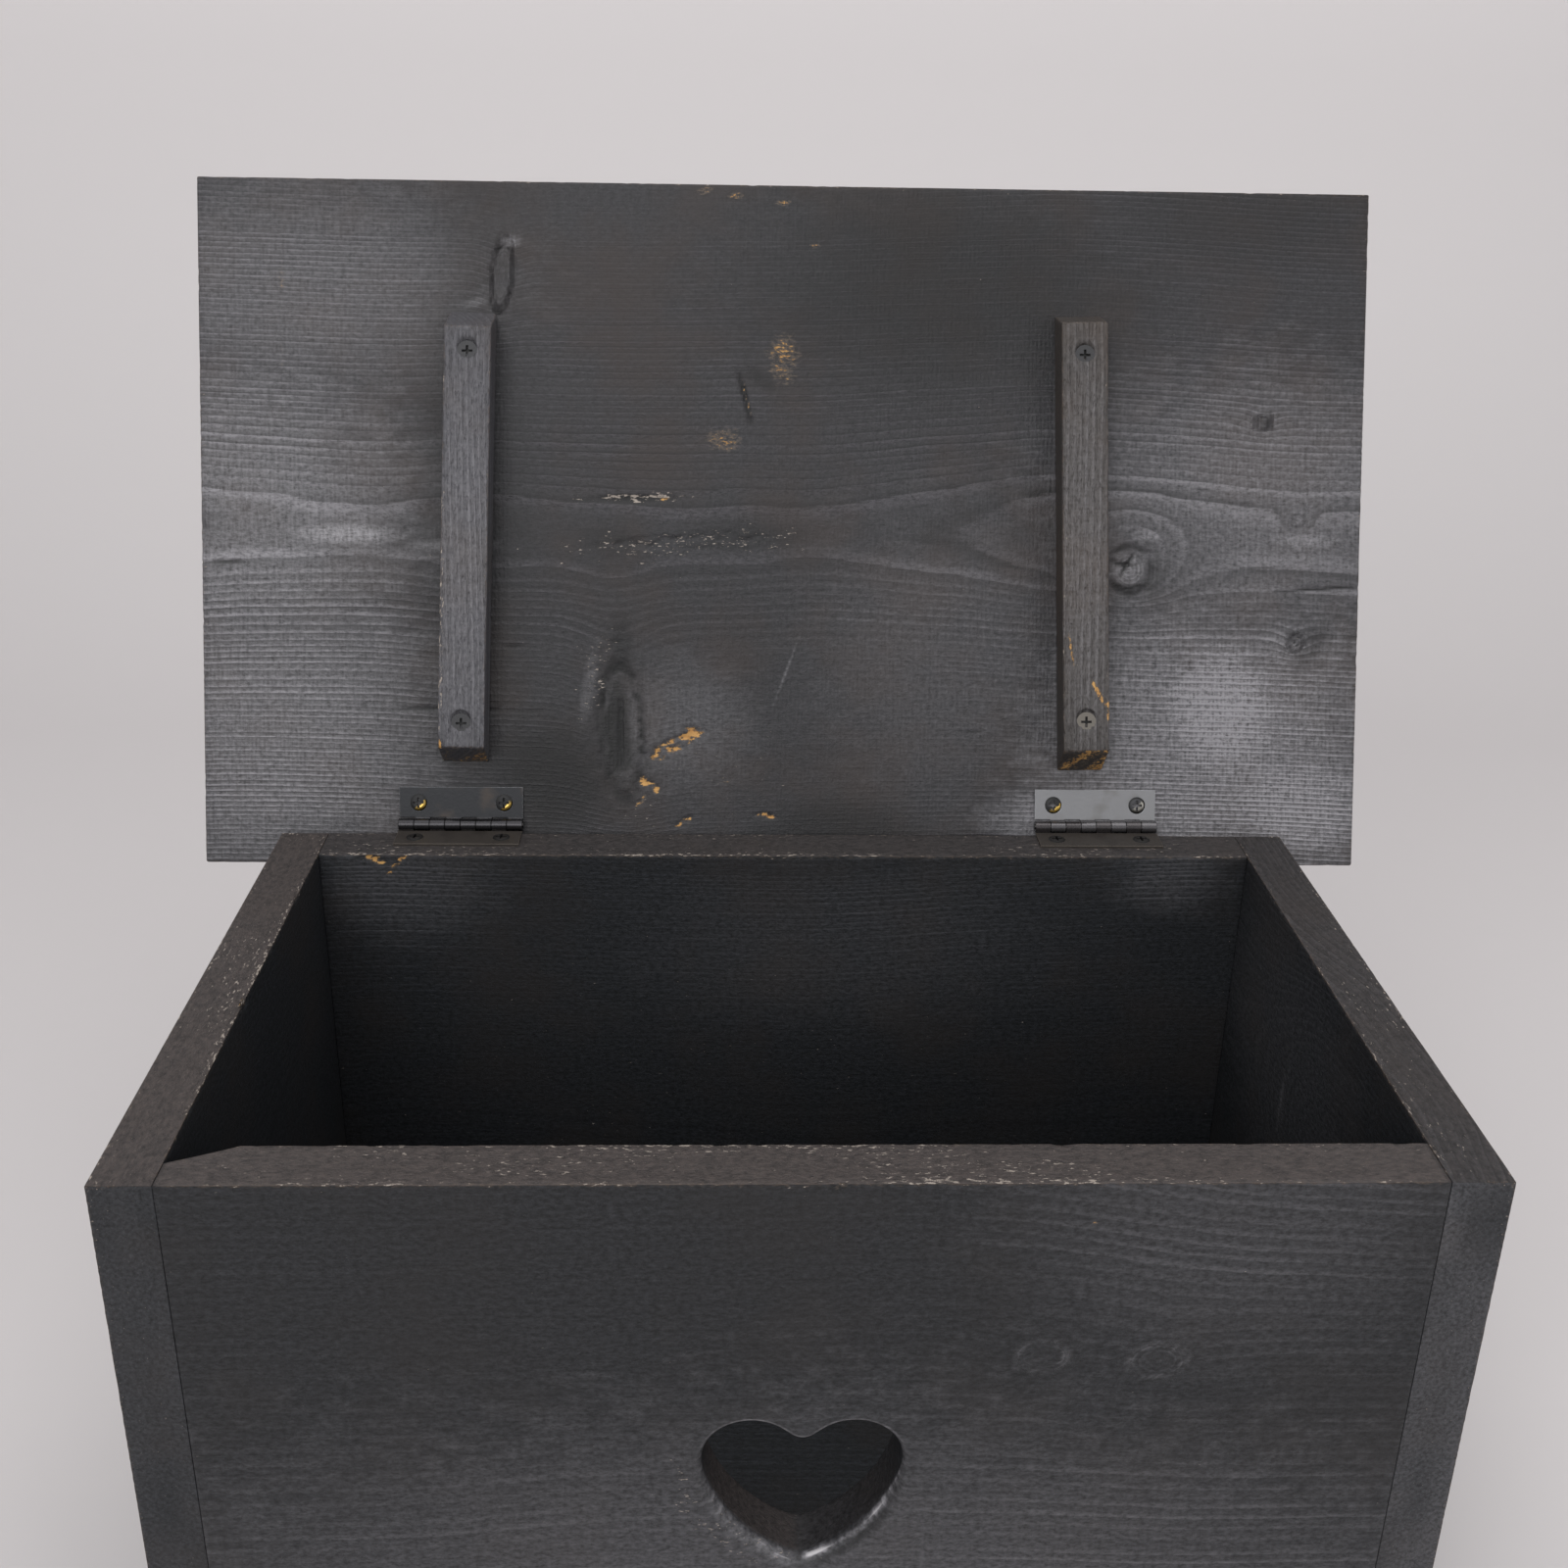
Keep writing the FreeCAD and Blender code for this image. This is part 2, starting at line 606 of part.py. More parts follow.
def make_box():
    """Make the five boards of the box and what joins them."""
    front = make_long_wall("front_board", "front_thickness", FRONT_MIDDLE)
    pocket_through(front, draw_heart(front))
    round_heart(front)
    back = make_long_wall("back_board", "back_thickness", BACK_MIDDLE)
    spots = [(f"{side}_hinge_x + {way} * hinge_screw_spacing / 2",
              f"{PIN_Y} - hinge_screw_inset - {BACK_MIDDLE}")
             for side in ("left", "right") for way in (-1, 1)]
    drill(back, "back_hinge_screws", "XY_Plane", WALL_HEIGHT, spots, "hinge_screw_shank_radius",
          "hinge_screw_length - leaf_thickness", False, "hinge_screw_head_radius - leaf_thickness")
    make_side("left_side_board", -1)
    make_side("right_side_board", 1)
    make_bottom()
    make_dowels()


def check_document():
    """Stop if any object failed or any piece's shape is missing or unsound."""
    for item in doc.Objects:
        if "Invalid" in item.State or "Error" in item.State:
            raise RuntimeError(f"{item.Label} did not build: {item.State}")
    for body in pieces:
        shape = body.Shape
        if shape.isNull() or not shape.isValid() or len(shape.Solids) != 1:
            raise RuntimeError(f"{body.Label} is not one sound solid")


def write_pieces():
    """Write each piece to its own file."""
    os.makedirs("parts", exist_ok=True)
    for body in pieces:
        body.Shape.exportStep(f"parts/{body.Label}.step")


fill_sheet()
make_box()
make_lid_board()
for hand in ("left", "right"):
    make_hinge(hand)
    make_batten(hand)
doc.recompute()
check_document()
write_pieces()
print(f"{len(pieces)} pieces; the lid stands open at {number(OPEN_ANGLE):.2f} degrees")
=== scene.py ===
"""A black-stained wooden toy box: the looks of each board, batten, hinge and screw, around the CAD frame."""

import logging
import math
from dataclasses import dataclass, field, replace
from enum import Enum
from functools import partial

import bpy
import numpy as np
from mathutils import Matrix, Vector


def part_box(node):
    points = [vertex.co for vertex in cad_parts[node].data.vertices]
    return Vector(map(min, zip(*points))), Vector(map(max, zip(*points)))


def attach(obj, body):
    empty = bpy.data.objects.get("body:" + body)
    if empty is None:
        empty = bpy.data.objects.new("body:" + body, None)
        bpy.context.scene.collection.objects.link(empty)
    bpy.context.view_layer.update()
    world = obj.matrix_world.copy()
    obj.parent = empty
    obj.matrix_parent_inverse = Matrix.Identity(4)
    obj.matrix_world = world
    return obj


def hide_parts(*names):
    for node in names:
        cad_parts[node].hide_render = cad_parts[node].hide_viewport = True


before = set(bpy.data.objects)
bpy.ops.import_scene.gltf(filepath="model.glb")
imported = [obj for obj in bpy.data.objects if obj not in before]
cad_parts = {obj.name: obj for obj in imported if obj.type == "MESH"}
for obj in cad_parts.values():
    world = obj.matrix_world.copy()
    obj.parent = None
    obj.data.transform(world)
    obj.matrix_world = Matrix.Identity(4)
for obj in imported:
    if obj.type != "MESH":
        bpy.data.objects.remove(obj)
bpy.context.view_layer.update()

MM = 0.001
GRIT_CELLS = 32
QUARTER_TURN = math.pi / 2
LID_SHOWS = (0, -1, 0.3)
WELL_DEPTH_MM = 2.4
ARRIS_REACH_MM = 1.3
NIBBLE_REACH_MM = 1.8
MARK_REACH_MM = 2.5
BOTTOM_SCREWS = 10
Socket = bpy.types.NodeSocket
log = logging.getLogger("toy_box")


# ---------------------------------------------------------------------------------------------------
# Colours and nodes
# ---------------------------------------------------------------------------------------------------


def tint(code: str) -> tuple[float, float, float, float]:
    """Turns an sRGB colour into the linear one that a shader takes.

    Args:
        code: The colour as six hex digits, such as "2a2b30".

    Returns:
        Linear red, green and blue, and an alpha of 1.
    """
    parts = [int(code[i : i + 2], 16) / 255 for i in (0, 2, 4)]
    linear = [p / 12.92 if p <= 0.04045 else ((p + 0.055) / 1.055) ** 2.4 for p in parts]
    return (linear[0], linear[1], linear[2], 1.0)


def add_node(
    tree: bpy.types.NodeTree,
    kind: str,
    links: dict[str | int, object] | None = None,
    take: str | int = 0,
    **settings: object,
) -> Socket:
    """Adds one shader node with its settings and links.

    Args:
        tree: The node tree that gets the node.
        kind: The node's type, without its "ShaderNode" prefix.
        links: For each input, by name or number, the output socket to link or the plain value to set.
        take: Which output to hand back, by name or number.
        **settings: The node's own properties.

    Returns:
        The output socket asked for.
    """
    node = tree.nodes.new("ShaderNode" + kind)
    for name, value in settings.items():
        setattr(node, name, value)
    for key, value in (links or {}).items():
        if isinstance(value, Socket):
            tree.links.new(value, node.inputs[key])
        else:
            node.inputs[key].default_value = value
    return node.outputs[take]


class Cell(Enum):
    """The attributes that a wooden mesh carries to its material."""

    GRAIN = "grain"  # millimetres along, across and into the board
    RING = "ring"  # growth rings counted out from the pith
    WEAR = "wear"  # nearness to an arris, bared wood, scuffing
    TONE = "tone"  # darkening and painted shade, rubbed paleness and painted sheen, polish and painted glint
    RIM = "rim"  # top edge of a wall, how bold the ring lines are, how often it was knocked


class Recipe:
    """A material being built up, with a short method for each kind of step that repeats."""

    def __init__(self, name: str) -> None:
        """Makes a material that holds only a Principled shader and its output.

        Args:
            name: The material's name.
        """
        self.material = bpy.data.materials.new(name)
        self.material.use_nodes = True
        self.tree = self.material.node_tree
        self.tree.nodes.clear()
        self.put = partial(add_node, self.tree)
        shader = self.put("BsdfPrincipled")
        self.surface = shader.node
        ending = self.tree.nodes.new("ShaderNodeOutputMaterial")
        self.tree.links.new(shader, ending.inputs["Surface"])

    def into(self, name: str, value: Socket) -> None:
        """Links an output into one of the shader's sockets."""
        self.tree.links.new(value, self.surface.inputs[name])

    def read(self, cell: Cell, take: str = "Vector") -> Socket:
        """Reads one of the mesh's attributes."""
        return self.put("Attribute", take=take, attribute_name=cell.value)

    def split(self, vector: Socket) -> list[Socket]:
        """Takes a vector apart into its three numbers."""
        return list(self.put("SeparateXYZ", {0: vector}).node.outputs)

    def math(self, operation: str, *values: Socket | float, clamp: bool = False) -> Socket:
        """Adds one sum, its values in the node's own order."""
        return self.put("Math", dict(enumerate(values)), operation=operation, use_clamp=clamp)

    def times(self, *values: Socket | float, clamp: bool = False) -> Socket:
        """Multiplies two values."""
        return self.math("MULTIPLY", *values, clamp=clamp)

    def plus(self, *values: Socket | float, clamp: bool = False) -> Socket:
        """Adds two values."""
        return self.math("ADD", *values, clamp=clamp)

    def scaled(
        self,
        value: Socket,
        factor: Socket | float,
        extra: Socket | float,
        clamp: bool = False,
    ) -> Socket:
        """Multiplies a value and adds another."""
        return self.math("MULTIPLY_ADD", value, factor, extra, clamp=clamp)

    def ramp(
        self,
        value: Socket,
        start: float = 0.0,
        end: float = 1.0,
        bottom: float = 0.0,
        top: float = 1.0,
        soft: bool = False,
    ) -> Socket:
        """Turns one span of values into another and holds the values past its ends.

        Args:
            value: The value to turn.
            start: Where the span starts.
            end: Where it ends. It may be below the start.
            bottom: What the start becomes.
            top: What the end becomes.
            soft: Whether the rise is eased at both ends.

        Returns:
            The turned value.
        """
        links = {"Value": value, "From Min": start, "From Max": end, "To Min": bottom, "To Max": top}
        return self.put("MapRange", links, interpolation_type="SMOOTHSTEP" if soft else "LINEAR")

    def blend(self, share: Socket, under: Socket | str, over: Socket | str) -> Socket:
        """Mixes two colours.

        Args:
            share: How much of the second one shows.
            under: The first colour, an output or a hex code.
            over: The second one.

        Returns:
            The mixed colour.
        """
        colours = [tint(colour) if isinstance(colour, str) else colour for colour in (under, over)]
        return self.put("Mix", {0: share, 6: colours[0], 7: colours[1]}, take=2, data_type="RGBA")

    def vector(self, operation: str, *values: object, take: str = "Vector") -> Socket:
        """Adds one vector sum, its values in the node's own order."""
        return self.put("VectorMath", dict(enumerate(values)), take=take, operation=operation)

    def fitted(self, place: Socket, along: float, across: float) -> Socket:
        """Divides a place by a size along the grain and another across it, in millimetres."""
        return self.vector("MULTIPLY", place, (1 / along, 1 / across, 1 / across))

    def noise(self, place: Socket, scale: float = 1.0, detail: float = 2.0, roughness: float = 0.5) -> Socket:
        """Adds a cloudy random value."""
        links = {"Vector": place, "Scale": scale, "Detail": detail, "Roughness": roughness}
        return self.put("TexNoise", links)

    def bump(self, height: Socket, distance: float, **links: Socket) -> None:
        """Gives the surface a relief of so many metres for each unit of height."""
        self.into("Normal", self.put("Bump", {"Height": height, "Distance": distance, **links}))


# ---------------------------------------------------------------------------------------------------
# Finishes
# ---------------------------------------------------------------------------------------------------


@dataclass(frozen=True)
class StainedSpruce:
    """Spruce, sawn or planed, brushed with one coat of black wood stain and left to dry.

    The stain is thin, so the hard latewood lines stand up through it and catch the light, the soft
    earlywood between them stays dull, and arrises worn by rubbing show brown. Its pale, glint and
    darkest colours also serve as painted sheen, painted highlight and painted shade.
    """

    name: str
    early: str
    late: str
    brown: str
    groove: str = "08090a"
    pooled_and_shade: str = "060607"
    pale: str = "89878b"
    rim_brown: str = "4c4441"
    arris_brown: str = "56493f"
    thin_brown: str = "6f6152"
    scuff: str = "9a9087"
    glint: str = "cbc8ca"
    bare: str = "d9ae6e"
    bare_deep: str = "94612f"
    brown_share: float = 0.45
    roughness: float = 0.5
    specular: float = 0.36
    line_contrast: float = 1.0
    tooth_share: float = 0.16
    fibre_share: float = 0.3
    mottle_share: float = 1.1
    glint_share: float = 0.0
    late_polish: float = 0.14
    ring_relief_mm: float = 0.16
    comb_relief_mm: float = 0.05
    comb_pitch_mm: float = 1.6
    fibre_relief_mm: float = 0.05
    nap_relief_mm: float = 0.08
    pore_relief_mm: float = 0.0
    mottle_relief_mm: float = 0.22
    rim_relief_mm: float = 0.5

    def build(self) -> bpy.types.Material:
        """Builds the material.

        Returns:
            The material.
        """
        coat = Recipe(self.name)
        scaled, times, ramp, noise, blend = coat.scaled, coat.times, coat.ramp, coat.noise, coat.blend
        grain = coat.read(Cell.GRAIN)
        ring = coat.read(Cell.RING, take="Fac")
        arris, bared, scuffing = coat.split(coat.read(Cell.WEAR))
        darkness, rub_and_sheen, polish_and_glint = coat.split(coat.read(Cell.TONE))
        top_edge, lines_here, knocked = coat.split(coat.read(Cell.RIM))

        # Fibres of 0.5 mm and coarser tufts of 2 mm, as a brushed coat leaves them.
        fibre = noise(coat.fitted(grain, 25, 0.5))
        tuft = noise(coat.fitted(grain, 30, 2.2), detail=3.0)
        # Blotches of 50 mm, where the brush left more stain or less.
        blotch = noise(grain, 1 / 50, 3.0, 0.6)
        # The nap of 0.8 mm that stands up when the wet stain dries, and its mottle of 2 mm.
        nap = noise(grain, 1 / 0.8)
        mottle = noise(coat.fitted(grain, 2.4, 1.3), detail=4.0, roughness=0.7)

        # The latewood ridge of each growth ring builds up slowly and drops into a dark groove. Some
        # rings are bold and some hardly show.
        wobble = scaled(tuft, 0.4, ring)
        phase = coat.math("FRACT", wobble)
        boldness = coat.put("TexWhiteNoise", {"W": coat.math("FLOOR", wobble)}, noise_dimensions="1D")
        broken = ramp(mottle, 0.3, 0.55, bottom=0.35)
        bold = times(times(ramp(boldness, bottom=0.3), broken), lines_here)
        ridge = times(ramp(phase, 0.45, 0.88, soft=True), ramp(phase, 1.0, 0.92, soft=True))
        line = times(ridge, bold)
        groove = times(ramp(phase, 0.3, 0.02, soft=True), bold)

        # Saw comb: marks straight across the grain, patchy, and drawn a little coarser than the real
        # 1.3 mm so that they show.
        comb_at = scaled(blotch, 3.0, coat.split(grain)[0])
        comb_wave = coat.math("SINE", times(comb_at, 2 * math.pi / self.comb_pitch_mm))
        comb_even = times(comb_wave, ramp(tuft, 0.35, 0.65))
        tooth = noise(coat.fitted(grain, 1.3, 6))
        comb = scaled(comb_even, 0.45, scaled(tooth, 4.0, -2.0))

        # Pores: short slits along the grain, 0.7 mm wide and 5 mm long.
        pore = ramp(noise(coat.fitted(grain, 5, 0.7), detail=1.0), 0.56, 0.66, soft=True)

        # Scuffs: light flecks where things knocked the rims and arrises, thinner on the broad faces.
        knock = noise(coat.fitted(grain, 2.6, 0.9), detail=3.0, roughness=0.65)
        likely = scaled(knocked, 0.115, scaled(scuffing, 0.13, scaled(arris, 0.10, 0.0)))
        scuff = ramp(coat.plus(knock, likely), 0.73, 0.8, soft=True)

        # Bared wood: its edge is ragged along the fibres.
        ragged = times(coat.plus(tuft, -0.5), bared)
        torn = scaled(scaled(mottle, 4.4, -2.2), bared, scaled(ragged, 1.4, bared))
        bare = ramp(torn, 0.72, 0.9, soft=True)
        worn = ramp(torn, 0.3, 0.85, top=0.6, soft=True)
        rub = ramp(scaled(arris, 0.48, knock), 0.78, 1.05, top=0.55, soft=True)

        # Colour, from the stain up to the bare wood.
        mottled = scaled(mottle, self.mottle_share, -0.15 - 0.5 * self.mottle_share)
        toned = scaled(fibre, self.fibre_share, scaled(nap, 0.5, mottled))
        stain = blend(coat.plus(toned, times(line, self.line_contrast), clamp=True), self.early, self.late)
        browned = blend(ramp(blotch, 0.4, 0.7, top=self.brown_share, soft=True), stain, self.brown)
        # A rub, and the painted sheen, take the stain's tops first: the ridges and the comb's teeth, then the
        # rest.
        crest = scaled(line, 0.9, scaled(comb, self.tooth_share, -0.28))
        tops = scaled(mottle, 1.3, crest, clamp=True)
        paled = blend(times(rub_and_sheen, tops, clamp=True), browned, self.pale)
        rim_share = times(top_edge, ramp(mottle, 0.3, 0.7, bottom=0.25), clamp=True)
        rimmed = blend(rim_share, paled, self.rim_brown)
        groove_share = times(groove, scaled(top_edge, 0.45, 0.75 * self.line_contrast))
        # The darkest colour is pooled stain, and also painted shade on the heart's round-over.
        darkened = blend(darkness, blend(groove_share, rimmed, self.groove), self.pooled_and_shade)
        hazed = blend(worn, blend(rub, darkened, self.arris_brown), self.thin_brown)
        # Painted highlight: past a polish of 1 the colour turns toward the pale glint colour.
        glint = ramp(polish_and_glint, 1.0, 1.5, top=self.glint_share)
        glinting = blend(glint, blend(scuff, hazed, self.scuff), self.glint)
        coat.into("Base Color", blend(bare, glinting, blend(tuft, self.bare_deep, self.bare)))
        coat.surface.inputs["Specular IOR Level"].default_value = self.specular

        # Roughness: polished latewood and rubbed places, duller where the stain pooled.
        rough = scaled(polish_and_glint, -0.2, scaled(line, -self.late_polish, self.roughness))
        rough = scaled(blotch, 0.16, rough)
        coat.into("Roughness", scaled(bare, 0.2, rough, clamp=True))

        # Relief, in millimetres.
        high = times(line, self.ring_relief_mm)
        high = scaled(comb, self.comb_relief_mm, high)
        high = scaled(fibre, self.fibre_relief_mm, high)
        high = scaled(nap, self.nap_relief_mm, high)
        high = scaled(mottle, self.mottle_relief_mm, high)
        high = scaled(mottle, times(top_edge, self.rim_relief_mm), high)
        high = scaled(pore, -self.pore_relief_mm, high)
        high = scaled(scuff, -0.06, high)
        high = scaled(bare, -0.2, high)
        coat.bump(high, MM)
        return coat.material


@dataclass(frozen=True)
class HingeSteel:
    """Mild steel strip, stamped and rolled, then sprayed satin black.

    The spray is thin, so the cut edges are worn to bright steel by rubbing. A copy with a light grey satin
    paint and a lighter barrel is painted reflection, for a leaf that catches the lamps.
    """

    name: str
    paint: str
    dirt: str = "3a322c"
    steel: str = "8f9094"
    barrel: str = "343335"
    knuckle_gap_shade: str = "050505"
    metallic: float = 0.6
    barrel_metallic: float = 0.85
    roughness: float = 0.34
    rub_radius_mm: float = 0.35
    rub_share: float = 0.7
    speck_mm: float = 1.1
    smear_mm: float = 9.0
    barrel_radius_mm: float = 2.9

    def build(self, axis: Vector) -> bpy.types.Material:
        """Makes the material for one hinge's parts.

        Args:
            axis: A point on the hinge's pin, in metres. The rolled barrel round it keeps its own colour.

        Returns:
            The material.
        """
        strip = Recipe(self.name)
        scaled, ramp, blend = strip.scaled, strip.ramp, strip.blend
        place = strip.put("TexCoord", take="Object")
        spread = strip.vector("MULTIPLY", strip.vector("SUBTRACT", place, tuple(axis)), (0.0, 1.0, 1.0))
        radius = strip.vector("LENGTH", spread, take="Value")
        rolled = ramp(radius, (self.barrel_radius_mm + 0.4) * MM, self.barrel_radius_mm * MM)
        speck = strip.noise(place, 1 / (self.speck_mm * MM), 3.0, 0.6)
        smear = strip.noise(place, 1 / (self.smear_mm * MM))
        eased = strip.put("Bevel", {"Radius": self.rub_radius_mm * MM}, samples=6)
        flat = strip.put("NewGeometry", take="Normal")
        edge = ramp(strip.vector("DOT_PRODUCT", eased, flat, take="Value"), 0.995, 0.9, soft=True)
        edge_worn = strip.plus(scaled(speck, 0.6, -0.2), edge)
        rub_any = ramp(edge_worn, 0.3, 0.75, top=self.rub_share, soft=True)
        rub = strip.times(rub_any, ramp(rolled, bottom=1.0, top=0.15))
        dirty = ramp(smear, 0.5, 0.72, top=0.6, soft=True)
        # Painted shade: the knuckles' ends, where the gaps between them fall, are painted near black.
        barrel = blend(strip.times(edge, rolled), self.barrel, self.knuckle_gap_shade)
        dirt_and_gap_shade = blend(rolled, blend(dirty, self.paint, self.dirt), barrel)
        strip.into("Base Color", blend(rub, dirt_and_gap_shade, self.steel))
        strip.into("Metallic", ramp(rolled, bottom=self.metallic, top=self.barrel_metallic))
        level = scaled(rolled, 0.26 - self.roughness, self.roughness - 0.08)
        strip.into("Roughness", scaled(rub, -0.08, scaled(speck, 0.16, level), clamp=True))
        strip.bump(speck, 0.03 * MM, Normal=eased)
        return strip.material


@dataclass(frozen=True)
class ScrewMetal:
    """A screw's turned head, with stain brushed over one side of it.

    Bare brass keeps a warm mirror in the slots and on the rim; the stained side is a dull black.
    """

    name: str
    metal: str = "dcb862"
    cover: str = "1e1e20"
    recess_shade: str = "060606"
    metal_roughness: float = 0.28
    cover_roughness: float = 0.5
    bare_toward: tuple[float, float, float] = (0.6, 0.0, -0.8)
    bare_edge_mm: float = 0.0
    bare_soft_mm: float = 0.7

    def build(self, centre: Vector, out: Vector, top: float) -> bpy.types.Material:
        """Makes the material for one screw.

        Args:
            centre: The middle of the screw's head, in metres.
            out: The way the head looks.
            top: How far out the head's face is, in metres, so that the hollow below it gets painted shade.

        Returns:
            The material.
        """
        head = Recipe(self.name)
        place = head.put("TexCoord", take="Object")
        toward = Vector(self.bare_toward).normalized()
        offset = head.vector("SUBTRACT", place, tuple(centre))
        reach = head.vector("DOT_PRODUCT", offset, tuple(toward), take="Value")
        ragged = head.noise(place, 1 / (1.2 * MM), 3.0)
        seen = head.plus(reach, head.scaled(ragged, 3.0 * MM, -1.5 * MM))
        edge = self.bare_edge_mm
        bare = head.ramp(seen, edge * MM, (edge + self.bare_soft_mm) * MM, soft=True)
        height = head.vector("DOT_PRODUCT", place, tuple(out), take="Value")
        # Painted shade: below the head's face, the cross and slots are painted near black.
        sunk_shade = head.ramp(height, top - 0.06 * MM, top - 0.3 * MM)
        head.into("Base Color", head.blend(sunk_shade, head.blend(bare, self.cover, self.metal), self.recess_shade))
        head.into("Metallic", head.ramp(bare, bottom=0.2))
        rough = head.ramp(bare, bottom=self.cover_roughness, top=self.metal_roughness)
        head.into("Roughness", head.scaled(ragged, 0.12, rough))
        head.bump(ragged, 0.05 * MM)
        return head.material


@dataclass(frozen=True)
class Beech:
    """Turned beech dowel, left raw: pale pinkish wood with short darker flecks along it."""

    name: str = "beech_dowel"
    light: str = "cda77d"
    fleck: str = "9a6f48"

    def build(self) -> bpy.types.Material:
        """Builds the material.

        Returns:
            The material.
        """
        wood = Recipe(self.name)
        # Rays: flecks 0.4 mm wide and 3 mm long, along the dowel.
        place = wood.put("TexCoord", take="Object")
        ray = wood.noise(wood.vector("MULTIPLY", place, (330.0, 2500.0, 2500.0)))
        wood.into("Base Color", wood.blend(wood.ramp(ray, 0.5, 0.68), self.light, self.fleck))
        wood.into("Roughness", wood.scaled(ray, 0.2, 0.5))
        wood.bump(ray, 0.05 * MM)
        return wood.material


# ---------------------------------------------------------------------------------------------------
# Wood in mesh form
# ---------------------------------------------------------------------------------------------------


class Grit:
    """Smooth random values through space, the same at every run."""

    def __init__(self, seed: int) -> None:
        """Draws the values that the rest are blended from."""
        self._values = np.random.default_rng(seed).random((GRIT_CELLS,) * 3) * 2 - 1

    def at(self, places: np.ndarray, size: tuple[float, float, float]) -> np.ndarray:
        """Reads the value at each place.

        Args:
            places: Points in millimetres, one row each.
            size: How far one swell reaches in each direction, in millimetres.

        Returns:
            A value from -1 to 1 for each point.
        """
        scaled = places / np.array(size)
        low = np.floor(scaled).astype(int)
        part = scaled - low
        part = part * part * (3 - 2 * part)
        total = np.zeros(len(scaled))
        for corner in np.ndindex(2, 2, 2):
            ids = (low + corner) % GRIT_CELLS
            share = np.prod(np.where(np.array(corner) == 1, part, 1 - part), axis=1)
            total += share * self._values[ids[:, 0], ids[:, 1], ids[:, 2]]
        return total


def soft_step(low: float, high: float, value: np.ndarray) -> np.ndarray:
    """Rises smoothly from 0 at low to 1 at high.

    Args:
        low: Where the rise starts.
        high: Where it ends. It may be below low, for a fall.
        value: The values to turn.

    Returns:
        A share from 0 to 1 for each value.
    """
    part = np.clip((value - low) / (high - low), 0, 1)
    return part * part * (3 - 2 * part)


def smoothed(loop: np.ndarray, rounds: int) -> np.ndarray:
    """Evens out a closed loop of points by drawing each one toward its two neighbours.

    Args:
        loop: The points, in order.
        rounds: How many times it is done.

    Returns:
        The evened points.
    """
    for _ in range(rounds):
        loop = 0.5 * loop + 0.25 * (np.roll(loop, 1, axis=0) + np.roll(loop, -1, axis=0))
    return loop


@dataclass(frozen=True)
class Lay:
    """How a board lies: the corner it is measured from, its directions and its sizes.

    The directions run along the grain, across the show face, and from that face into the wood.
    """

    corner: np.ndarray
    axes: np.ndarray
    size: np.ndarray

    @classmethod
    def of(cls, node: str, shows: tuple[float, float, float]) -> "Lay":
        """Reads a board's lie from its CAD mesh.

        Args:
            node: The CAD node.
            shows: Roughly where the show face looks.

        Returns:
            The board's lie, with its sizes in millimetres.
        """
        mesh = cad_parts[node].data
        points = np.array([v.co for v in mesh.vertices])
        areas: dict[tuple[float, ...], float] = {}
        normals: dict[tuple[float, ...], Vector] = {}
        for polygon in mesh.polygons:
            key = tuple(round(abs(c), 3) for c in polygon.normal)
            areas[key] = areas.get(key, 0.0) + polygon.area
            normals.setdefault(key, polygon.normal.copy())
        ranked = [normals[k] for k in sorted(areas, key=lambda k: -areas[k])]
        out = ranked[0] if ranked[0].dot(Vector(shows)) > 0 else -ranked[0]
        side = next(n for n in ranked[1:] if abs(n.dot(out)) < 0.1)
        lengthwise = side.cross(out).normalized()
        spans = [np.ptp(points @ np.array(d)) for d in (lengthwise, side)]
        along, across = (lengthwise, side) if spans[0] >= spans[1] else (side, lengthwise)
        along = along if max(along, key=abs) > 0 else -along
        across = across if max(across, key=abs) > 0 else -across
        axes = np.array([along, across, -out])
        low = (points @ axes.T).min(0)
        high = (points @ axes.T).max(0)
        return cls(low @ axes, axes, (high - low) / MM)

    def place(self, local: np.ndarray) -> np.ndarray:
        """Turns points in the board's millimetres into metres in the frame."""
        return self.corner + (local * MM) @ self.axes

    def local(self, point: Vector) -> np.ndarray:
        """Turns one point of the frame into the board's millimetres."""
        return (np.array(point) - self.corner) @ self.axes.T / MM

    @property
    def mirrored(self) -> bool:
        """Whether the directions make a left-handed set."""
        return float(np.linalg.det(self.axes)) < 0


class MarkKind(Enum):
    """What a mark on a board is."""

    KNOT = "knot"
    CRACK = "crack"
    CHIP = "chip"
    RUB = "rub"
    # Paler, smoother patches: a few are rubbed smooth, most are painted sheen.
    SHINE = "shine"
    SMEAR = "smear"
    FLECKS = "flecks"
    HOLE = "hole"
    CALM = "calm"  # fainter ring lines


RAGGED_SHARE = {MarkKind.CHIP: 1.6, MarkKind.FLECKS: 1.6, MarkKind.HOLE: 0.0, MarkKind.KNOT: 0.35}


class EndFit(Enum):
    """How a board's ends meet its neighbours."""

    FREE = "free"
    BETWEEN = "between"  # both ends butt against other boards
    COVERING = "covering"  # the show face's ends are covered by other boards


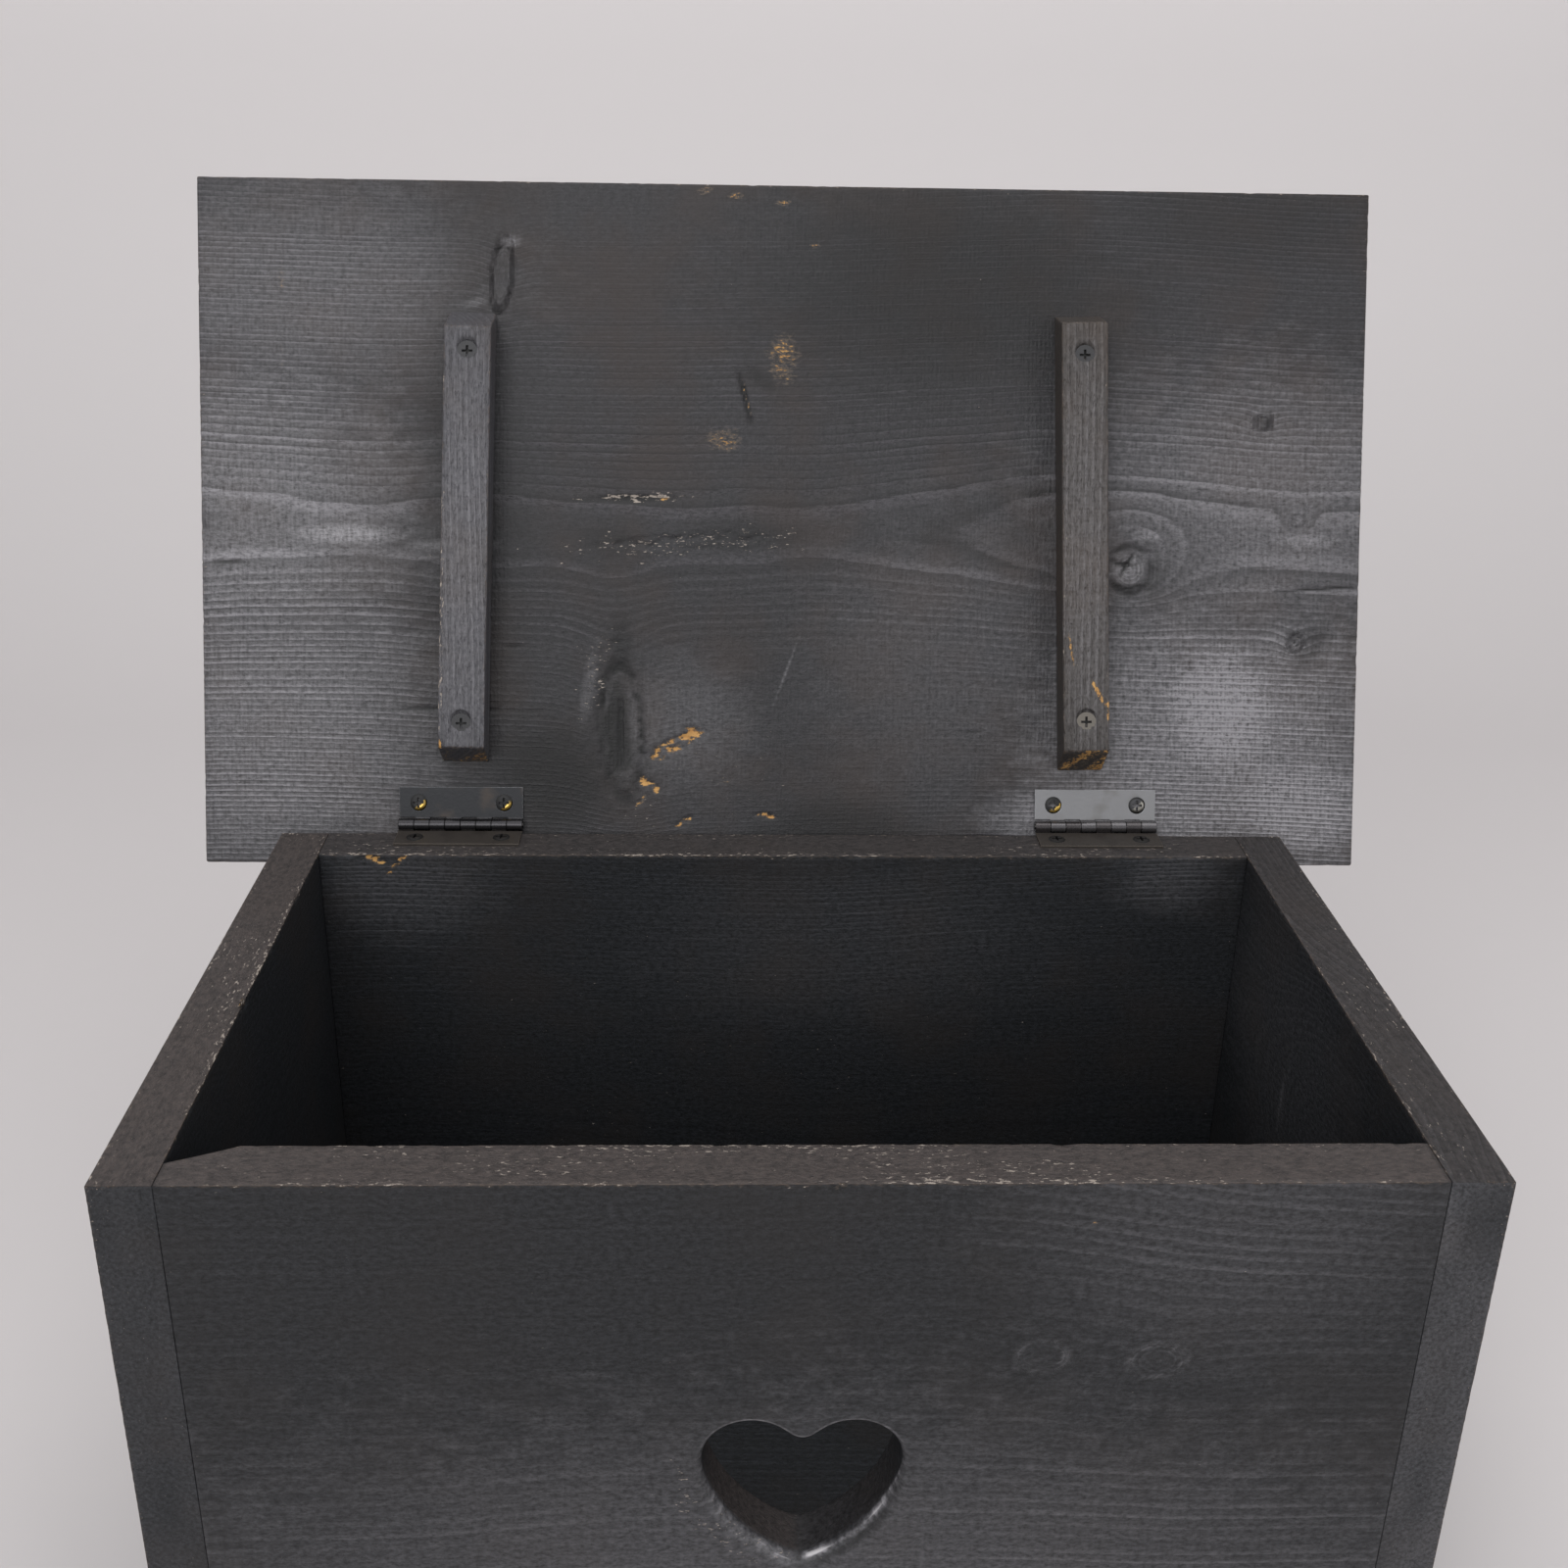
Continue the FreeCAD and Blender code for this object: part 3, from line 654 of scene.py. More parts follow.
@dataclass(frozen=True)
class Mark:
    """One mark on a board's face, an ellipse or a line.

    It is placed from the middle of the board's length and from its lower edge, in millimetres.
    """

    kind: MarkKind
    along: float
    across: float
    half_along: float
    half_across: float
    strength: float = 1.0
    turn_deg: float = 0.0
    depth_mm: float = 0.0

    def distance(self, along: np.ndarray, across: np.ndarray, wander: np.ndarray) -> np.ndarray:
        """Measures how far points are from the middle, as a share of the mark's own size.

        Args:
            along: The points' places along the board, from its middle.
            across: Their places across it, from its lower edge.
            wander: A ragged share to add, so that the outline isn't a plain ellipse.

        Returns:
            0 at the middle and 1 at the outline.
        """
        turn = math.radians(self.turn_deg)
        da = along - self.along
        db = across - self.across
        first = (da * math.cos(turn) + db * math.sin(turn)) / self.half_along
        second = (db * math.cos(turn) - da * math.sin(turn)) / self.half_across
        return np.hypot(first, second) * (1 + wander)


@dataclass
class Skin:
    """A board's surface before it is dressed: points, the directions they face, and faces."""

    points: np.ndarray
    normals: np.ndarray
    faces: list[tuple[int, ...]]


def cross_lines(
    length: float,
    step: float,
    ease: float,
    zones: list[tuple[float, float, float]],
) -> np.ndarray:
    """Places the cross lines of a face along one direction.

    Args:
        length: The board's size that way, in millimetres.
        step: The usual gap between lines.
        ease: The radius of the eased arrises at the ends.
        zones: Stretches with finer lines, each a start, an end and a gap.

    Returns:
        The places, from 0 to length.
    """
    places = [ease]
    while places[-1] < length - ease:
        here = places[-1]
        gap = min([step] + [z[2] for z in zones if z[0] <= here <= z[1]])
        places.append(here + gap)
    inner = np.array(places)
    inner = ease + (inner - ease) * (length - 2 * ease) / (inner[-1] - ease)
    lead = np.array([0.0, 0.35 * ease])
    return np.concatenate([lead, inner, length - lead[::-1]])


def face_loops(ids: np.ndarray, stride: int) -> list[tuple[int, ...]]:
    """Makes the faces of one side of a board.

    Args:
        ids: The vertex numbers on that side, in two directions.
        stride: How many lines to pass over in the middle. The side's border keeps all its vertices.

    Returns:
        The faces, turned so that they look up where the two directions are right and up.
    """
    rows, columns = ids.shape
    if stride == 1:
        stacked = np.stack([ids[:-1, :-1], ids[1:, :-1], ids[1:, 1:], ids[:-1, 1:]], axis=-1)
        return [tuple(f) for f in stacked.reshape(-1, 4).tolist()]
    keep = 3
    row_lines = sorted({*range(keep), *range(keep, rows - keep, stride), *range(rows - keep, rows)})
    middle_columns = range(keep, columns - keep, stride)
    column_lines = sorted({*range(keep), *middle_columns, *range(columns - keep, columns)})
    faces = []
    for r0, r1 in zip(row_lines, row_lines[1:]):
        for c0, c1 in zip(column_lines, column_lines[1:]):
            loop = [(r, c0) for r in (range(r0, r1) if c0 == 0 else [r0])]
            loop += [(r1, c) for c in (range(c0, c1) if r1 == rows - 1 else [c0])]
            loop += [(r, c1) for r in (range(r1, r0, -1) if c1 == columns - 1 else [r1])]
            loop += [(r0, c) for c in (range(c1, c0, -1) if r0 == 0 else [c1])]
            faces.append(tuple(int(ids[r, c]) for r, c in loop))
    return faces


def slab_skin(lines: list[np.ndarray], ease: float, strides: dict[tuple[int, bool], int]) -> Skin:
    """Makes the surface of a rectangular board with eased arrises.

    Args:
        lines: The cross lines along, across and into the board.
        ease: The radius of its arrises, in millimetres.
        strides: For a side, by its direction and whether it is the far one, how many lines to pass over.

    Returns:
        The board's surface, closed.
    """
    counts = [len(line) for line in lines]
    grid = np.stack(np.meshgrid(*lines, indexing="ij"), axis=-1).reshape(-1, 3)
    ids = np.arange(len(grid)).reshape(counts)
    faces = []
    for axis in range(3):
        for far in (False, True):
            side = np.take(ids, counts[axis] - 1 if far else 0, axis=axis)
            loops = face_loops(side, strides.get((axis, far), 1))
            # Taking the middle direction out leaves the other two in left-handed order.
            turned = far == (axis == 1)
            faces += [loop[::-1] for loop in loops] if turned else loops
    size = np.array([line[-1] for line in lines])
    inner = np.clip(grid, ease, size - ease)
    out = grid - inner
    used = np.unique(np.concatenate([np.array(f) for f in faces]))
    renumber = np.full(len(grid), -1)
    renumber[used] = np.arange(len(used))
    table = renumber.tolist()
    faces = [tuple(table[i] for i in f) for f in faces]
    normals = out[used] / np.linalg.norm(out[used], axis=1)[:, None]
    return Skin(inner[used] + normals * ease, normals, faces)


@dataclass
class Board:
    """One board: a CAD node's lie, dressed as sawn wood with its own rings, knots and wear."""

    node: str
    body: str
    shows: tuple[float, float, float]
    finish: bpy.types.Material
    seed: int
    step_along: float = 2.6
    step_across: float = 1.4
    step_deep: float = 2.4
    ease: float = 0.8
    far_stride: int = 1
    pith_across: float = 60.0
    pith_depth: float = 60.0
    pith_swing: float = 3.0
    wave_mm: float = 0.25
    sweep_mm: float = 1.6
    ring_mm: float = 2.0
    relief_mm: float = 0.1
    nibble_mm: float = 0.5
    scuffed_edge: bool = True
    closed_ends: EndFit = EndFit.FREE
    rim_wear: float = 1.0
    rim_lines: float = 0.25
    rim_knocks: float = 1.0
    end_pale: float = 0.3
    zones_along: list[tuple[float, float, float]] = field(default_factory=list)
    zones_across: list[tuple[float, float, float]] = field(default_factory=list)
    marks: list[Mark] = field(default_factory=list)

    def __post_init__(self) -> None:
        """Reads where the board lies and draws its own grit."""
        self.lay = Lay.of(self.node, self.shows)
        self.grit = Grit(self.seed)

    def skin(self) -> Skin:
        """Makes the board's plain surface.

        Returns:
            The surface before it is dressed.
        """
        length, width, depth = self.lay.size
        middle = length / 2
        zones = [(low + middle, high + middle, gap) for low, high, gap in self.zones_along]
        lines = [
            cross_lines(length, self.step_along, self.ease, zones),
            cross_lines(width, self.step_across, self.ease, self.zones_across),
            cross_lines(depth, self.step_deep, self.ease, []),
        ]
        return slab_skin(lines, self.ease, {(2, True): self.far_stride})

    def shape(self, points: np.ndarray) -> np.ndarray:
        """Moves the plain surface's points to the board's own shape.

        Args:
            points: The points, in the board's millimetres.

        Returns:
            The points after the move.
        """
        return points

    def rings(self, points: np.ndarray) -> np.ndarray:
        """Counts the growth rings from the pith out to each point.

        Args:
            points: The points, in the board's millimetres.

        Returns:
            The count for each point, whole at each ring's end.
        """
        lone = points * np.array([1.0, 0.0, 0.0])
        sway = self.grit.at(lone, (170, 1, 1))
        sink = self.grit.at(lone + 400, (150, 1, 1)) + 0.3 * self.grit.at(lone + 900, (46, 1, 1))
        across = points[:, 1] - self.pith_across - 4 * sway
        depth = points[:, 2] + self.pith_depth + self.pith_swing * sink
        wave = self.wave_mm * self.grit.at(points, (60, 14, 14))
        wave += self.sweep_mm * self.grit.at(points, (210, 70, 70))
        reach = np.hypot(across, depth) + wave
        thick_years = np.stack([reach, np.zeros(len(reach)), np.zeros(len(reach))], axis=1)
        count = (reach + 1.1 * self.grit.at(thick_years, (6.5, 1, 1))) / self.ring_mm
        middle = self.lay.size[0] / 2
        for mark in self.marks:
            if mark.kind is not MarkKind.KNOT:
                continue
            far = mark.distance(points[:, 0] - middle, points[:, 1], np.zeros(len(points)))
            pushed = 0.7 * min(mark.half_across, mark.half_along) / self.ring_mm
            count = count + np.sign(mark.across - self.pith_across) * pushed * np.exp(-((far / 1.9) ** 2))
            own = far * min(mark.half_along, mark.half_across) / 1.5
            inside = soft_step(1.15, 0.8, far)
            count = count * (1 - inside) + own * inside
        return count

    def bare_edges(self, points: np.ndarray) -> np.ndarray:
        """Tells the arrises that hands reach from the ones closed up against another board.

        Args:
            points: The surface's points, in the board's millimetres.

        Returns:
            1 where an arris is open and 0 where it is closed up.
        """
        from_end = np.minimum(points[:, 0], self.lay.size[0] - points[:, 0])
        if self.closed_ends is EndFit.FREE:
            return np.ones(len(points))
        at_end = soft_step(3.0, 1.5, from_end)
        if self.closed_ends is EndFit.BETWEEN:
            return 1 - at_end
        inner = soft_step(self.lay.size[2] * 0.6, self.lay.size[2] * 0.4, points[:, 2])
        return 1 - at_end * inner

    def dress(self, skin: Skin) -> tuple[np.ndarray, dict[Cell, np.ndarray]]:
        """Cuts the relief and the marks into a surface and works out what its material reads.

        Args:
            skin: The surface.

        Returns:
            The points after cutting, in the board's millimetres, and the attributes.
        """
        points = self.shape(skin.points)
        size = self.lay.size
        near = np.sort(np.minimum(skin.points, size - skin.points), axis=1)
        edge = near[:, 1]
        edges = self.bare_edges(skin.points)
        arris = np.exp(-edge / ARRIS_REACH_MM) * edges
        ring = self.rings(points)
        along = points[:, 0] - size[0] / 2
        across = points[:, 1]
        # Rings closer together than the mesh can follow are left to the finish.
        beside = self.rings(points + np.array([0.0, 0.5, 0.0]))
        open_grain = soft_step(0.42, 0.26, np.abs(beside - ring) / 0.5)
        cut = (0.5 - 0.5 * np.cos(2 * np.pi * ring)) * self.relief_mm * open_grain
        nibble = self.grit.at(points, (3.1, 3.1, 3.1)) + 0.6 * self.grit.at(points + 77, (9, 9, 9))
        nibble = np.clip(nibble - 0.35, 0, 1) * edges
        if self.closed_ends is EndFit.COVERING:
            nibble *= soft_step(size[2] * 0.6, size[2] * 0.3, skin.points[:, 2])
        cut += self.nibble_mm * nibble * np.exp(-edge / NIBBLE_REACH_MM)
        bared, dark, pale, polish_and_glint, scuff, top = np.zeros((6, len(points)))
        lines = 0.75 + 0.4 * self.grit.at(points + 53, (70, 22, 22))
        if self.scuffed_edge:
            facing_up = soft_step(0.4, 0.9, skin.normals[:, 1])
            top = facing_up * soft_step(size[1] - 4, size[1] - 3, skin.points[:, 1])
        knocks = 0.3 + 0.7 * soft_step(-0.2, 0.5, self.grit.at(points + 19, (38, 9, 9)))
        knocked = top * self.rim_knocks * knocks
        lines = lines * (1 - top * (1 - self.rim_lines))
        top = top * self.rim_wear
        ragged = 0.32 * self.grit.at(points + 31, (6, 2.4, 6)) + 0.2 * self.grit.at(points, (2.2, 1.1, 3))
        here = soft_step(MARK_REACH_MM, 0.2, skin.points[:, 2])
        if self.closed_ends is EndFit.COVERING:
            # The ends soaked up more stain and dried to a flat, lighter grey without lines.
            sawn_end = soft_step(0.7, 0.95, np.abs(skin.normals[:, 0]))
            pale += self.end_pale * sawn_end * (1 + 0.6 * self.grit.at(points + 7, (8, 26, 8)))
            lines = lines * (1 - 0.85 * sawn_end)
            knocked = np.maximum(knocked, 0.3 * sawn_end)
        for mark in self.marks:
            power = mark.strength
            far = mark.distance(along, across, ragged * RAGGED_SHARE.get(mark.kind, 0.6))
            inside = soft_step(1.2, 0.75, far) * here
            faded = soft_step(1.3, 0.2, far) * here * power
            faint = soft_step(1.3, 0.3, far) * here * power
            if mark.kind is MarkKind.KNOT:
                seam = np.exp(-(((far - 1.0) / 0.16) ** 2)) * here
                lip = np.exp(-(((far - 0.78) / 0.14) ** 2)) * here
                cut += mark.depth_mm * (inside * 0.6 + seam - 0.5 * lip)
                dark = np.maximum(dark, seam * power * 0.6 * (0.6 + ragged * 2))
                pale = np.maximum(pale, lip * 0.3 * (0.5 + ragged * 3))
                polish_and_glint = np.maximum(polish_and_glint, inside * 0.3)
            elif mark.kind is MarkKind.CRACK:
                slit = soft_step(1.3, 0.4, far) * here
                cut += mark.depth_mm * slit
                dark = np.maximum(dark, slit * power)
            elif mark.kind is MarkKind.CHIP:
                inside = inside * np.clip(0.85 + 1.5 * self.grit.at(points + 5, (2.8, 1.7, 3)), 0, 1.1)
                cut += mark.depth_mm * inside
                bared = np.maximum(bared, inside * power)
            elif mark.kind is MarkKind.RUB:
                bared = np.maximum(bared, faded)
            elif mark.kind is MarkKind.SHINE:
                # Painted sheen: a paler colour and a lower roughness, partly rubbed-smooth wood.
                polish_and_glint = np.maximum(polish_and_glint, faded)
                pale = np.maximum(pale, faded)
            elif mark.kind is MarkKind.SMEAR:
                dark = np.maximum(dark, faint)
            elif mark.kind is MarkKind.FLECKS:
                scuff = np.maximum(scuff, inside * power)
                cut += mark.depth_mm * inside * np.clip(ragged * 3, 0, 1)
            elif mark.kind is MarkKind.CALM:
                lines = lines * (1 - faint)
            elif mark.kind is MarkKind.HOLE:
                well = 0.35 + 0.65 * soft_step(0.75, 0.35, far)
                cut += mark.depth_mm * well * soft_step(1.05, 0.95, far) * here
                dark = np.maximum(dark, soft_step(1.25, 0.95, far) * here * power)
        cut = np.clip(cut, 0, None)
        points = points - skin.normals * cut[:, None]
        cells = {
            Cell.GRAIN: points,
            Cell.RING: ring,
            Cell.WEAR: np.stack([arris, bared, scuff], axis=1),
            Cell.TONE: np.stack([dark, pale, polish_and_glint], axis=1),
            Cell.RIM: np.stack([top, np.clip(lines, 0, 1), knocked], axis=1),
        }
        return points, cells

    def build(self) -> bpy.types.Object:
        """Makes the board's object, in the place of its CAD node.

        Returns:
            The object, riding on its body.
        """
        skin = self.skin()
        points, cells = self.dress(skin)
        faces = [f[::-1] for f in skin.faces] if self.lay.mirrored else skin.faces
        mesh = bpy.data.meshes.new(self.node + "_wood")
        mesh.from_pydata(self.lay.place(points).tolist(), [], faces)
        mesh.shade_smooth()
        for cell, values in cells.items():
            flat = values.ndim == 1
            kind = "FLOAT" if flat else "FLOAT_VECTOR"
            layer = mesh.attributes.new(cell.value, kind, "POINT")
            layer.data.foreach_set("value" if flat else "vector", values.astype(np.float32).ravel())
        mesh.materials.append(self.finish)
        piece = bpy.data.objects.new(self.node + "_wood", mesh)
        bpy.context.scene.collection.objects.link(piece)
        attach(piece, self.body)
        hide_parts(self.node)
        log.info("%s: %d points, %d faces", piece.name, len(points), len(faces))
        return piece


@dataclass
class HeartBoard(Board):
    """The front board, with a heart sawn through it and its outer arris rounded over."""

    boundary_step: float = 1.6
    face_rings: int = 74
    back_rings: int = 26
    round_over: float = 5.5
    round_steps: int = 9
    wall_steps: int = 9
    tip_rounds: int = 40
    wane_length: float = 19.2
    wane_cut: float = 8.5
    wane_drop: float = 13.0

    def heart_outline(self) -> tuple[np.ndarray, np.ndarray]:
        """Reads the heart's outline from the CAD board's inner face.

        Returns:
            The outline's points in the board's plane, in order, and the point in its middle.
        """
        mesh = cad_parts[self.node].data
        local = np.array([self.lay.local(v.co) for v in mesh.vertices])
        length, width, depth = self.lay.size
        clear = 2.0
        inner = local[(local[:, 2] > depth - 0.05)][:, :2]
        inside = (inner[:, 0] > clear) & (inner[:, 0] < length - clear)
        inside &= (inner[:, 1] > clear) & (inner[:, 1] < width - clear)
        rim = np.unique(np.round(inner[inside], 3), axis=0)
        middle = np.array([(rim[:, 0].min() + rim[:, 0].max()) / 2, 0.0])
        low, high = rim[:, 1].min(), rim[:, 1].max()
        middle[1] = low + 0.5 * (high - low)
        return rim, middle

    def skin(self) -> Skin:
        """Makes the surface: a closed section carried round the heart.

        Returns:
            The surface before it is dressed.
        """
        length, width, depth = self.lay.size
        rim, middle = self.heart_outline()
        sides = [(0, 0), (length, 0), (length, width), (0, width)]
        border = []
        for (x0, y0), (x1, y1) in zip(sides, sides[1:] + sides[:1]):
            count = int(math.hypot(x1 - x0, y1 - y0) / self.boundary_step)
            share = np.arange(count) / count
            border.append(np.stack([x0 + (x1 - x0) * share, y0 + (y1 - y0) * share], axis=1))
        border = np.concatenate(border)
        angle = np.arctan2(border[:, 1] - middle[1], border[:, 0] - middle[0])
        rim_angle = np.arctan2(rim[:, 1] - middle[1], rim[:, 0] - middle[0])
        order = np.argsort(rim_angle)
        reach = np.hypot(*(rim - middle).T)
        radius = np.interp(angle, rim_angle[order], reach[order], period=2 * math.pi)
        heart = middle + radius[:, None] * np.stack([np.cos(angle), np.sin(angle)], axis=1)
        # The rays bunch up on the flanks, so the outline's points are evened out a little.
        for _ in range(12):
            heart = smoothed(heart, 1)
            off = heart - middle
            bearing = np.arctan2(off[:, 1], off[:, 0])
            true = np.interp(bearing, rim_angle[order], reach[order], period=2 * math.pi)
            heart = middle + true[:, None] * np.stack([np.cos(bearing), np.sin(bearing)], axis=1)
        # A saw leaves no facets.
        heart = smoothed(heart, 30)
        run = np.roll(heart, -1, axis=0) - np.roll(heart, 1, axis=0)
        outward = np.stack([run[:, 1], -run[:, 0]], axis=1)
        outward /= np.linalg.norm(outward, axis=1)[:, None]
        loops: list[tuple[np.ndarray, np.ndarray]] = []
        ease = self.ease
        inset = np.clip(border, ease, [length - ease, width - ease])
        edge_out = border - inset
        edge_out /= np.maximum(np.linalg.norm(edge_out, axis=1), 1e-9)[:, None]
        flat_up = np.tile([0.0, 0.0, -1.0], (len(border), 1))

        def ring(plane: np.ndarray, deep: float | np.ndarray, normal: np.ndarray) -> None:
            """Adds one loop of points at a depth."""
            deep = np.broadcast_to(deep, (len(plane),))
            loops.append((np.column_stack([plane, deep]), normal))

        # Rounded over generously toward the tip and only a little along the top.
        low_part = soft_step(middle[1] + 14, middle[1] - 8, heart[:, 1])
        over = self.round_over * (0.45 + 0.55 * low_part)
        rolled = heart + over[:, None] * outward
        for step in range(self.face_rings + 1):
            share = (step / self.face_rings) ** 1.12
            ring(inset + (rolled - inset) * share, 0.0, flat_up)
        for step in range(1, self.round_steps + 1):
            turn = step / self.round_steps * QUARTER_TURN
            normal = np.column_stack([-outward * math.sin(turn), np.full(len(heart), -math.cos(turn))])
            ring(heart + outward * over[:, None] * (1 - math.sin(turn)), over * (1 - math.cos(turn)), normal)
        # The saw turned wider at the tip on the inner face than on the outer one.
        turned = smoothed(heart, self.tip_rounds)
        low_down = soft_step(middle[1] - 6, middle[1] - 14, heart[:, 1])[:, None]
        inner_heart = heart + (turned - heart) * low_down
        wall = np.column_stack([-outward, np.zeros(len(heart))])
        outer_heart = heart
        for step in range(1, self.wall_steps + 1):
            share = step / self.wall_steps
            heart = outer_heart + (inner_heart - outer_heart) * share
            ring(heart, over + (depth - ease - over) * share, wall)
        for step in (1, 2):
            turn = step / 2 * QUARTER_TURN
            normal = np.column_stack([-outward * math.cos(turn), np.full(len(heart), math.sin(turn))])
            ring(heart + outward * ease * (1 - math.cos(turn)), depth - ease * (1 - math.sin(turn)), normal)
        start = heart + outward * ease
        for step in range(1, self.back_rings + 1):
            share = step / self.back_rings
            ring(start + (inset - start) * share, depth, -flat_up)
        for turn in (0.5, 1.0):
            bend = turn * QUARTER_TURN
            normal = np.column_stack([edge_out * math.sin(bend), np.full(len(border), math.cos(bend))])
            ring(inset + edge_out * ease * math.sin(bend), depth - ease * (1 - math.cos(bend)), normal)
        side = np.column_stack([edge_out, np.zeros(len(border))])
        edge_count = 11
        for step in range(1, edge_count):
            ring(inset + edge_out * ease, depth - ease - (depth - 2 * ease) * step / edge_count, side)
        for turn in (1.0, 0.5):
            bend = turn * QUARTER_TURN
            normal = np.column_stack([edge_out * math.sin(bend), np.full(len(border), -math.cos(bend))])
            ring(inset + edge_out * ease * math.sin(bend), ease * (1 - math.cos(bend)), normal)
        count, around = len(loops), len(border)
        ids = np.arange(count * around).reshape(count, around)
        nxt = np.roll(ids, -1, axis=0)
        quads = np.stack([ids, nxt, np.roll(nxt, -1, axis=1), np.roll(ids, -1, axis=1)], axis=-1)
        faces = [tuple(f) for f in quads.reshape(-1, 4).tolist()]
        points = np.concatenate([p for p, _ in loops])
        normals = np.concatenate([n for _, n in loops])
        return Skin(points, normals, faces)

    def dress(self, skin: Skin) -> tuple[np.ndarray, dict[Cell, np.ndarray]]:
        """Adds the painted highlight and painted shade of the heart's rounded arris, its wear, and the brown
        of its sawn wall.

        Args:
            skin: The surface.

        Returns:
            The points after cutting, in the board's millimetres, and the attributes.
        """
        points, cells = super().dress(skin)
        rim, middle = self.heart_outline()
        reach = np.abs(rim - middle).max(axis=0) + self.round_over + 3
        near = (np.abs(skin.points[:, :2] - middle) < reach).all(axis=1)
        facing = -skin.normals[:, 2]
        roll = near * soft_step(0.06, 0.4, facing) * soft_step(0.999, 0.93, facing)
        rightward = -skin.normals[:, 0]
        low = soft_step(0.05, 0.45, skin.normals[:, 1])
        low_right = roll * low * soft_step(0.0, 0.4, rightward)
        low_left = roll * low * soft_step(0.0, 0.4, -rightward)
        bearing = np.arctan2(skin.points[:, 1] - middle[1], skin.points[:, 0] - middle[0])
        run = np.stack([bearing * 40, facing * 9, 0 * facing], axis=1)
        gouge = np.clip(0.6 + 1.1 * self.grit.at(run, (14, 1.1, 1)), 0, 1.6)
        band = np.exp(-(((facing - 0.42) / 0.2) ** 2))
        dark, pale, polish_and_glint = cells[Cell.TONE].T
        tip = np.exp(-np.abs(skin.points[:, 0] - middle[0]) / 16)
        lip = np.exp(-(((facing - 0.9) / 0.09) ** 2))
        rubbed_lip = near * soft_step(0.1, 0.5, -skin.normals[:, 1]) * lip
        # Painted highlight: the round-over is painted paler, most in a streak low on the right and toward the
        # glint colour there; the thin light line along the top lip is wear.
        glint = low_right * band * (0.8 + 2.2 * tip) * gouge
        glint += low_left * (0.3 + 0.6 * gouge * tip)
        glint += 0.25 * roll + 1.1 * rubbed_lip
        pale = np.maximum(pale, np.clip(glint, 0, 2.6))
        # Painted shade: a dark stripe on the outer part of the round-over, low on the right.
        dark = np.maximum(dark, 0.7 * low_right * soft_step(0.66, 0.8, facing))
        streak = low_right * band * (0.9 + 0.9 * tip) * (0.55 + 0.6 * gouge)
        polish_and_glint = np.maximum(polish_and_glint, streak + 0.8 * low_left * (0.6 + 1.1 * tip * gouge))
        cells[Cell.TONE] = np.stack([dark, pale, polish_and_glint], axis=1)
        cells[Cell.WEAR][:, 2] = np.maximum(cells[Cell.WEAR][:, 2], 0.9 * low_left + 0.4 * low_right)
        wall = near * soft_step(0.25, 0.0, np.abs(facing)) * low * soft_step(0.5, 2.0, skin.points[:, 2])
        browned = wall * (0.18 + 0.5 * soft_step(-0.1, 0.5, -rightward))
        cells[Cell.RIM][:, 0] = np.maximum(cells[Cell.RIM][:, 0], browned)
        return points, cells

    def shape(self, points: np.ndarray) -> np.ndarray:
        """Takes the waney corner off the inner top arris at the left end.

        Args:
            points: The points, in the board's millimetres.

        Returns:
            The points, drawn forward where the corner is missing.
        """
        _, width, depth = self.lay.size
        run = np.clip(1 - points[:, 0] / self.wane_length, 0, 1)
        drop = np.clip(1 - (width - points[:, 1]) / self.wane_drop, 0, 1)
        missing = self.wane_cut * run**0.9 * drop**0.7
        moved = points.copy()
        moved[:, 2] = points[:, 2] * (depth - missing) / depth
        return moved


@dataclass
class Batten(Board):
    """A batten under the lid, with its two ends cut back toward its outer face."""

    front_bevel: float = 8.0
    rear_bevel: float = 6.0
    front_round: float = 1.0
    rear_rub: float = 0.0

    def dress(self, skin: Skin) -> tuple[np.ndarray, dict[Cell, np.ndarray]]:
        """Adds the thin stain of the rear end, where the wood shows through.

        Args:
            skin: The surface.

        Returns:
            The points after cutting, in the board's millimetres, and the attributes.
        """
        points, cells = super().dress(skin)
        rear = soft_step(0.3, 0.8, -skin.normals[:, 0])
        streak = self.grit.at(skin.points @ self.streak_turn, (1, 3.0, 22))
        cells[Cell.WEAR][:, 1] += rear * self.rear_rub * (0.8 + 0.5 * streak)
        return points, cells

    @property
    def streak_turn(self) -> np.ndarray:
        """The turn that lays the end's streaks across its corner."""
        turn = math.radians(35)
        cosine, sine = math.cos(turn), math.sin(turn)
        return np.array([[1, 0, 0], [0, cosine, -sine], [0, sine, cosine]])

    def shape(self, points: np.ndarray) -> np.ndarray:
        """Draws the ends in, most at the outer face.

        Args:
            points: The points, in the board's millimetres.

        Returns:
            The points after the move.
        """
        length, _, depth = self.lay.size
        rise = 1 - points[:, 2] / depth
        low = self.rear_bevel * rise
        high = self.front_bevel * rise**self.front_round
        moved = points.copy()
        moved[:, 0] = low + points[:, 0] / length * (length - low - high)
        return moved


# ---------------------------------------------------------------------------------------------------
# The box, the lid and the metal
# ---------------------------------------------------------------------------------------------------


def centre_of(node: str) -> Vector:
    """Returns the middle of a node's box, in metres."""
    low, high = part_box(node)
    return (low + high) / 2


def marks(kind: MarkKind, *rows: tuple[float, ...]) -> list[Mark]:
    """Makes marks of one kind, each row a mark's fields in order."""
    return [Mark(kind, *row) for row in rows]


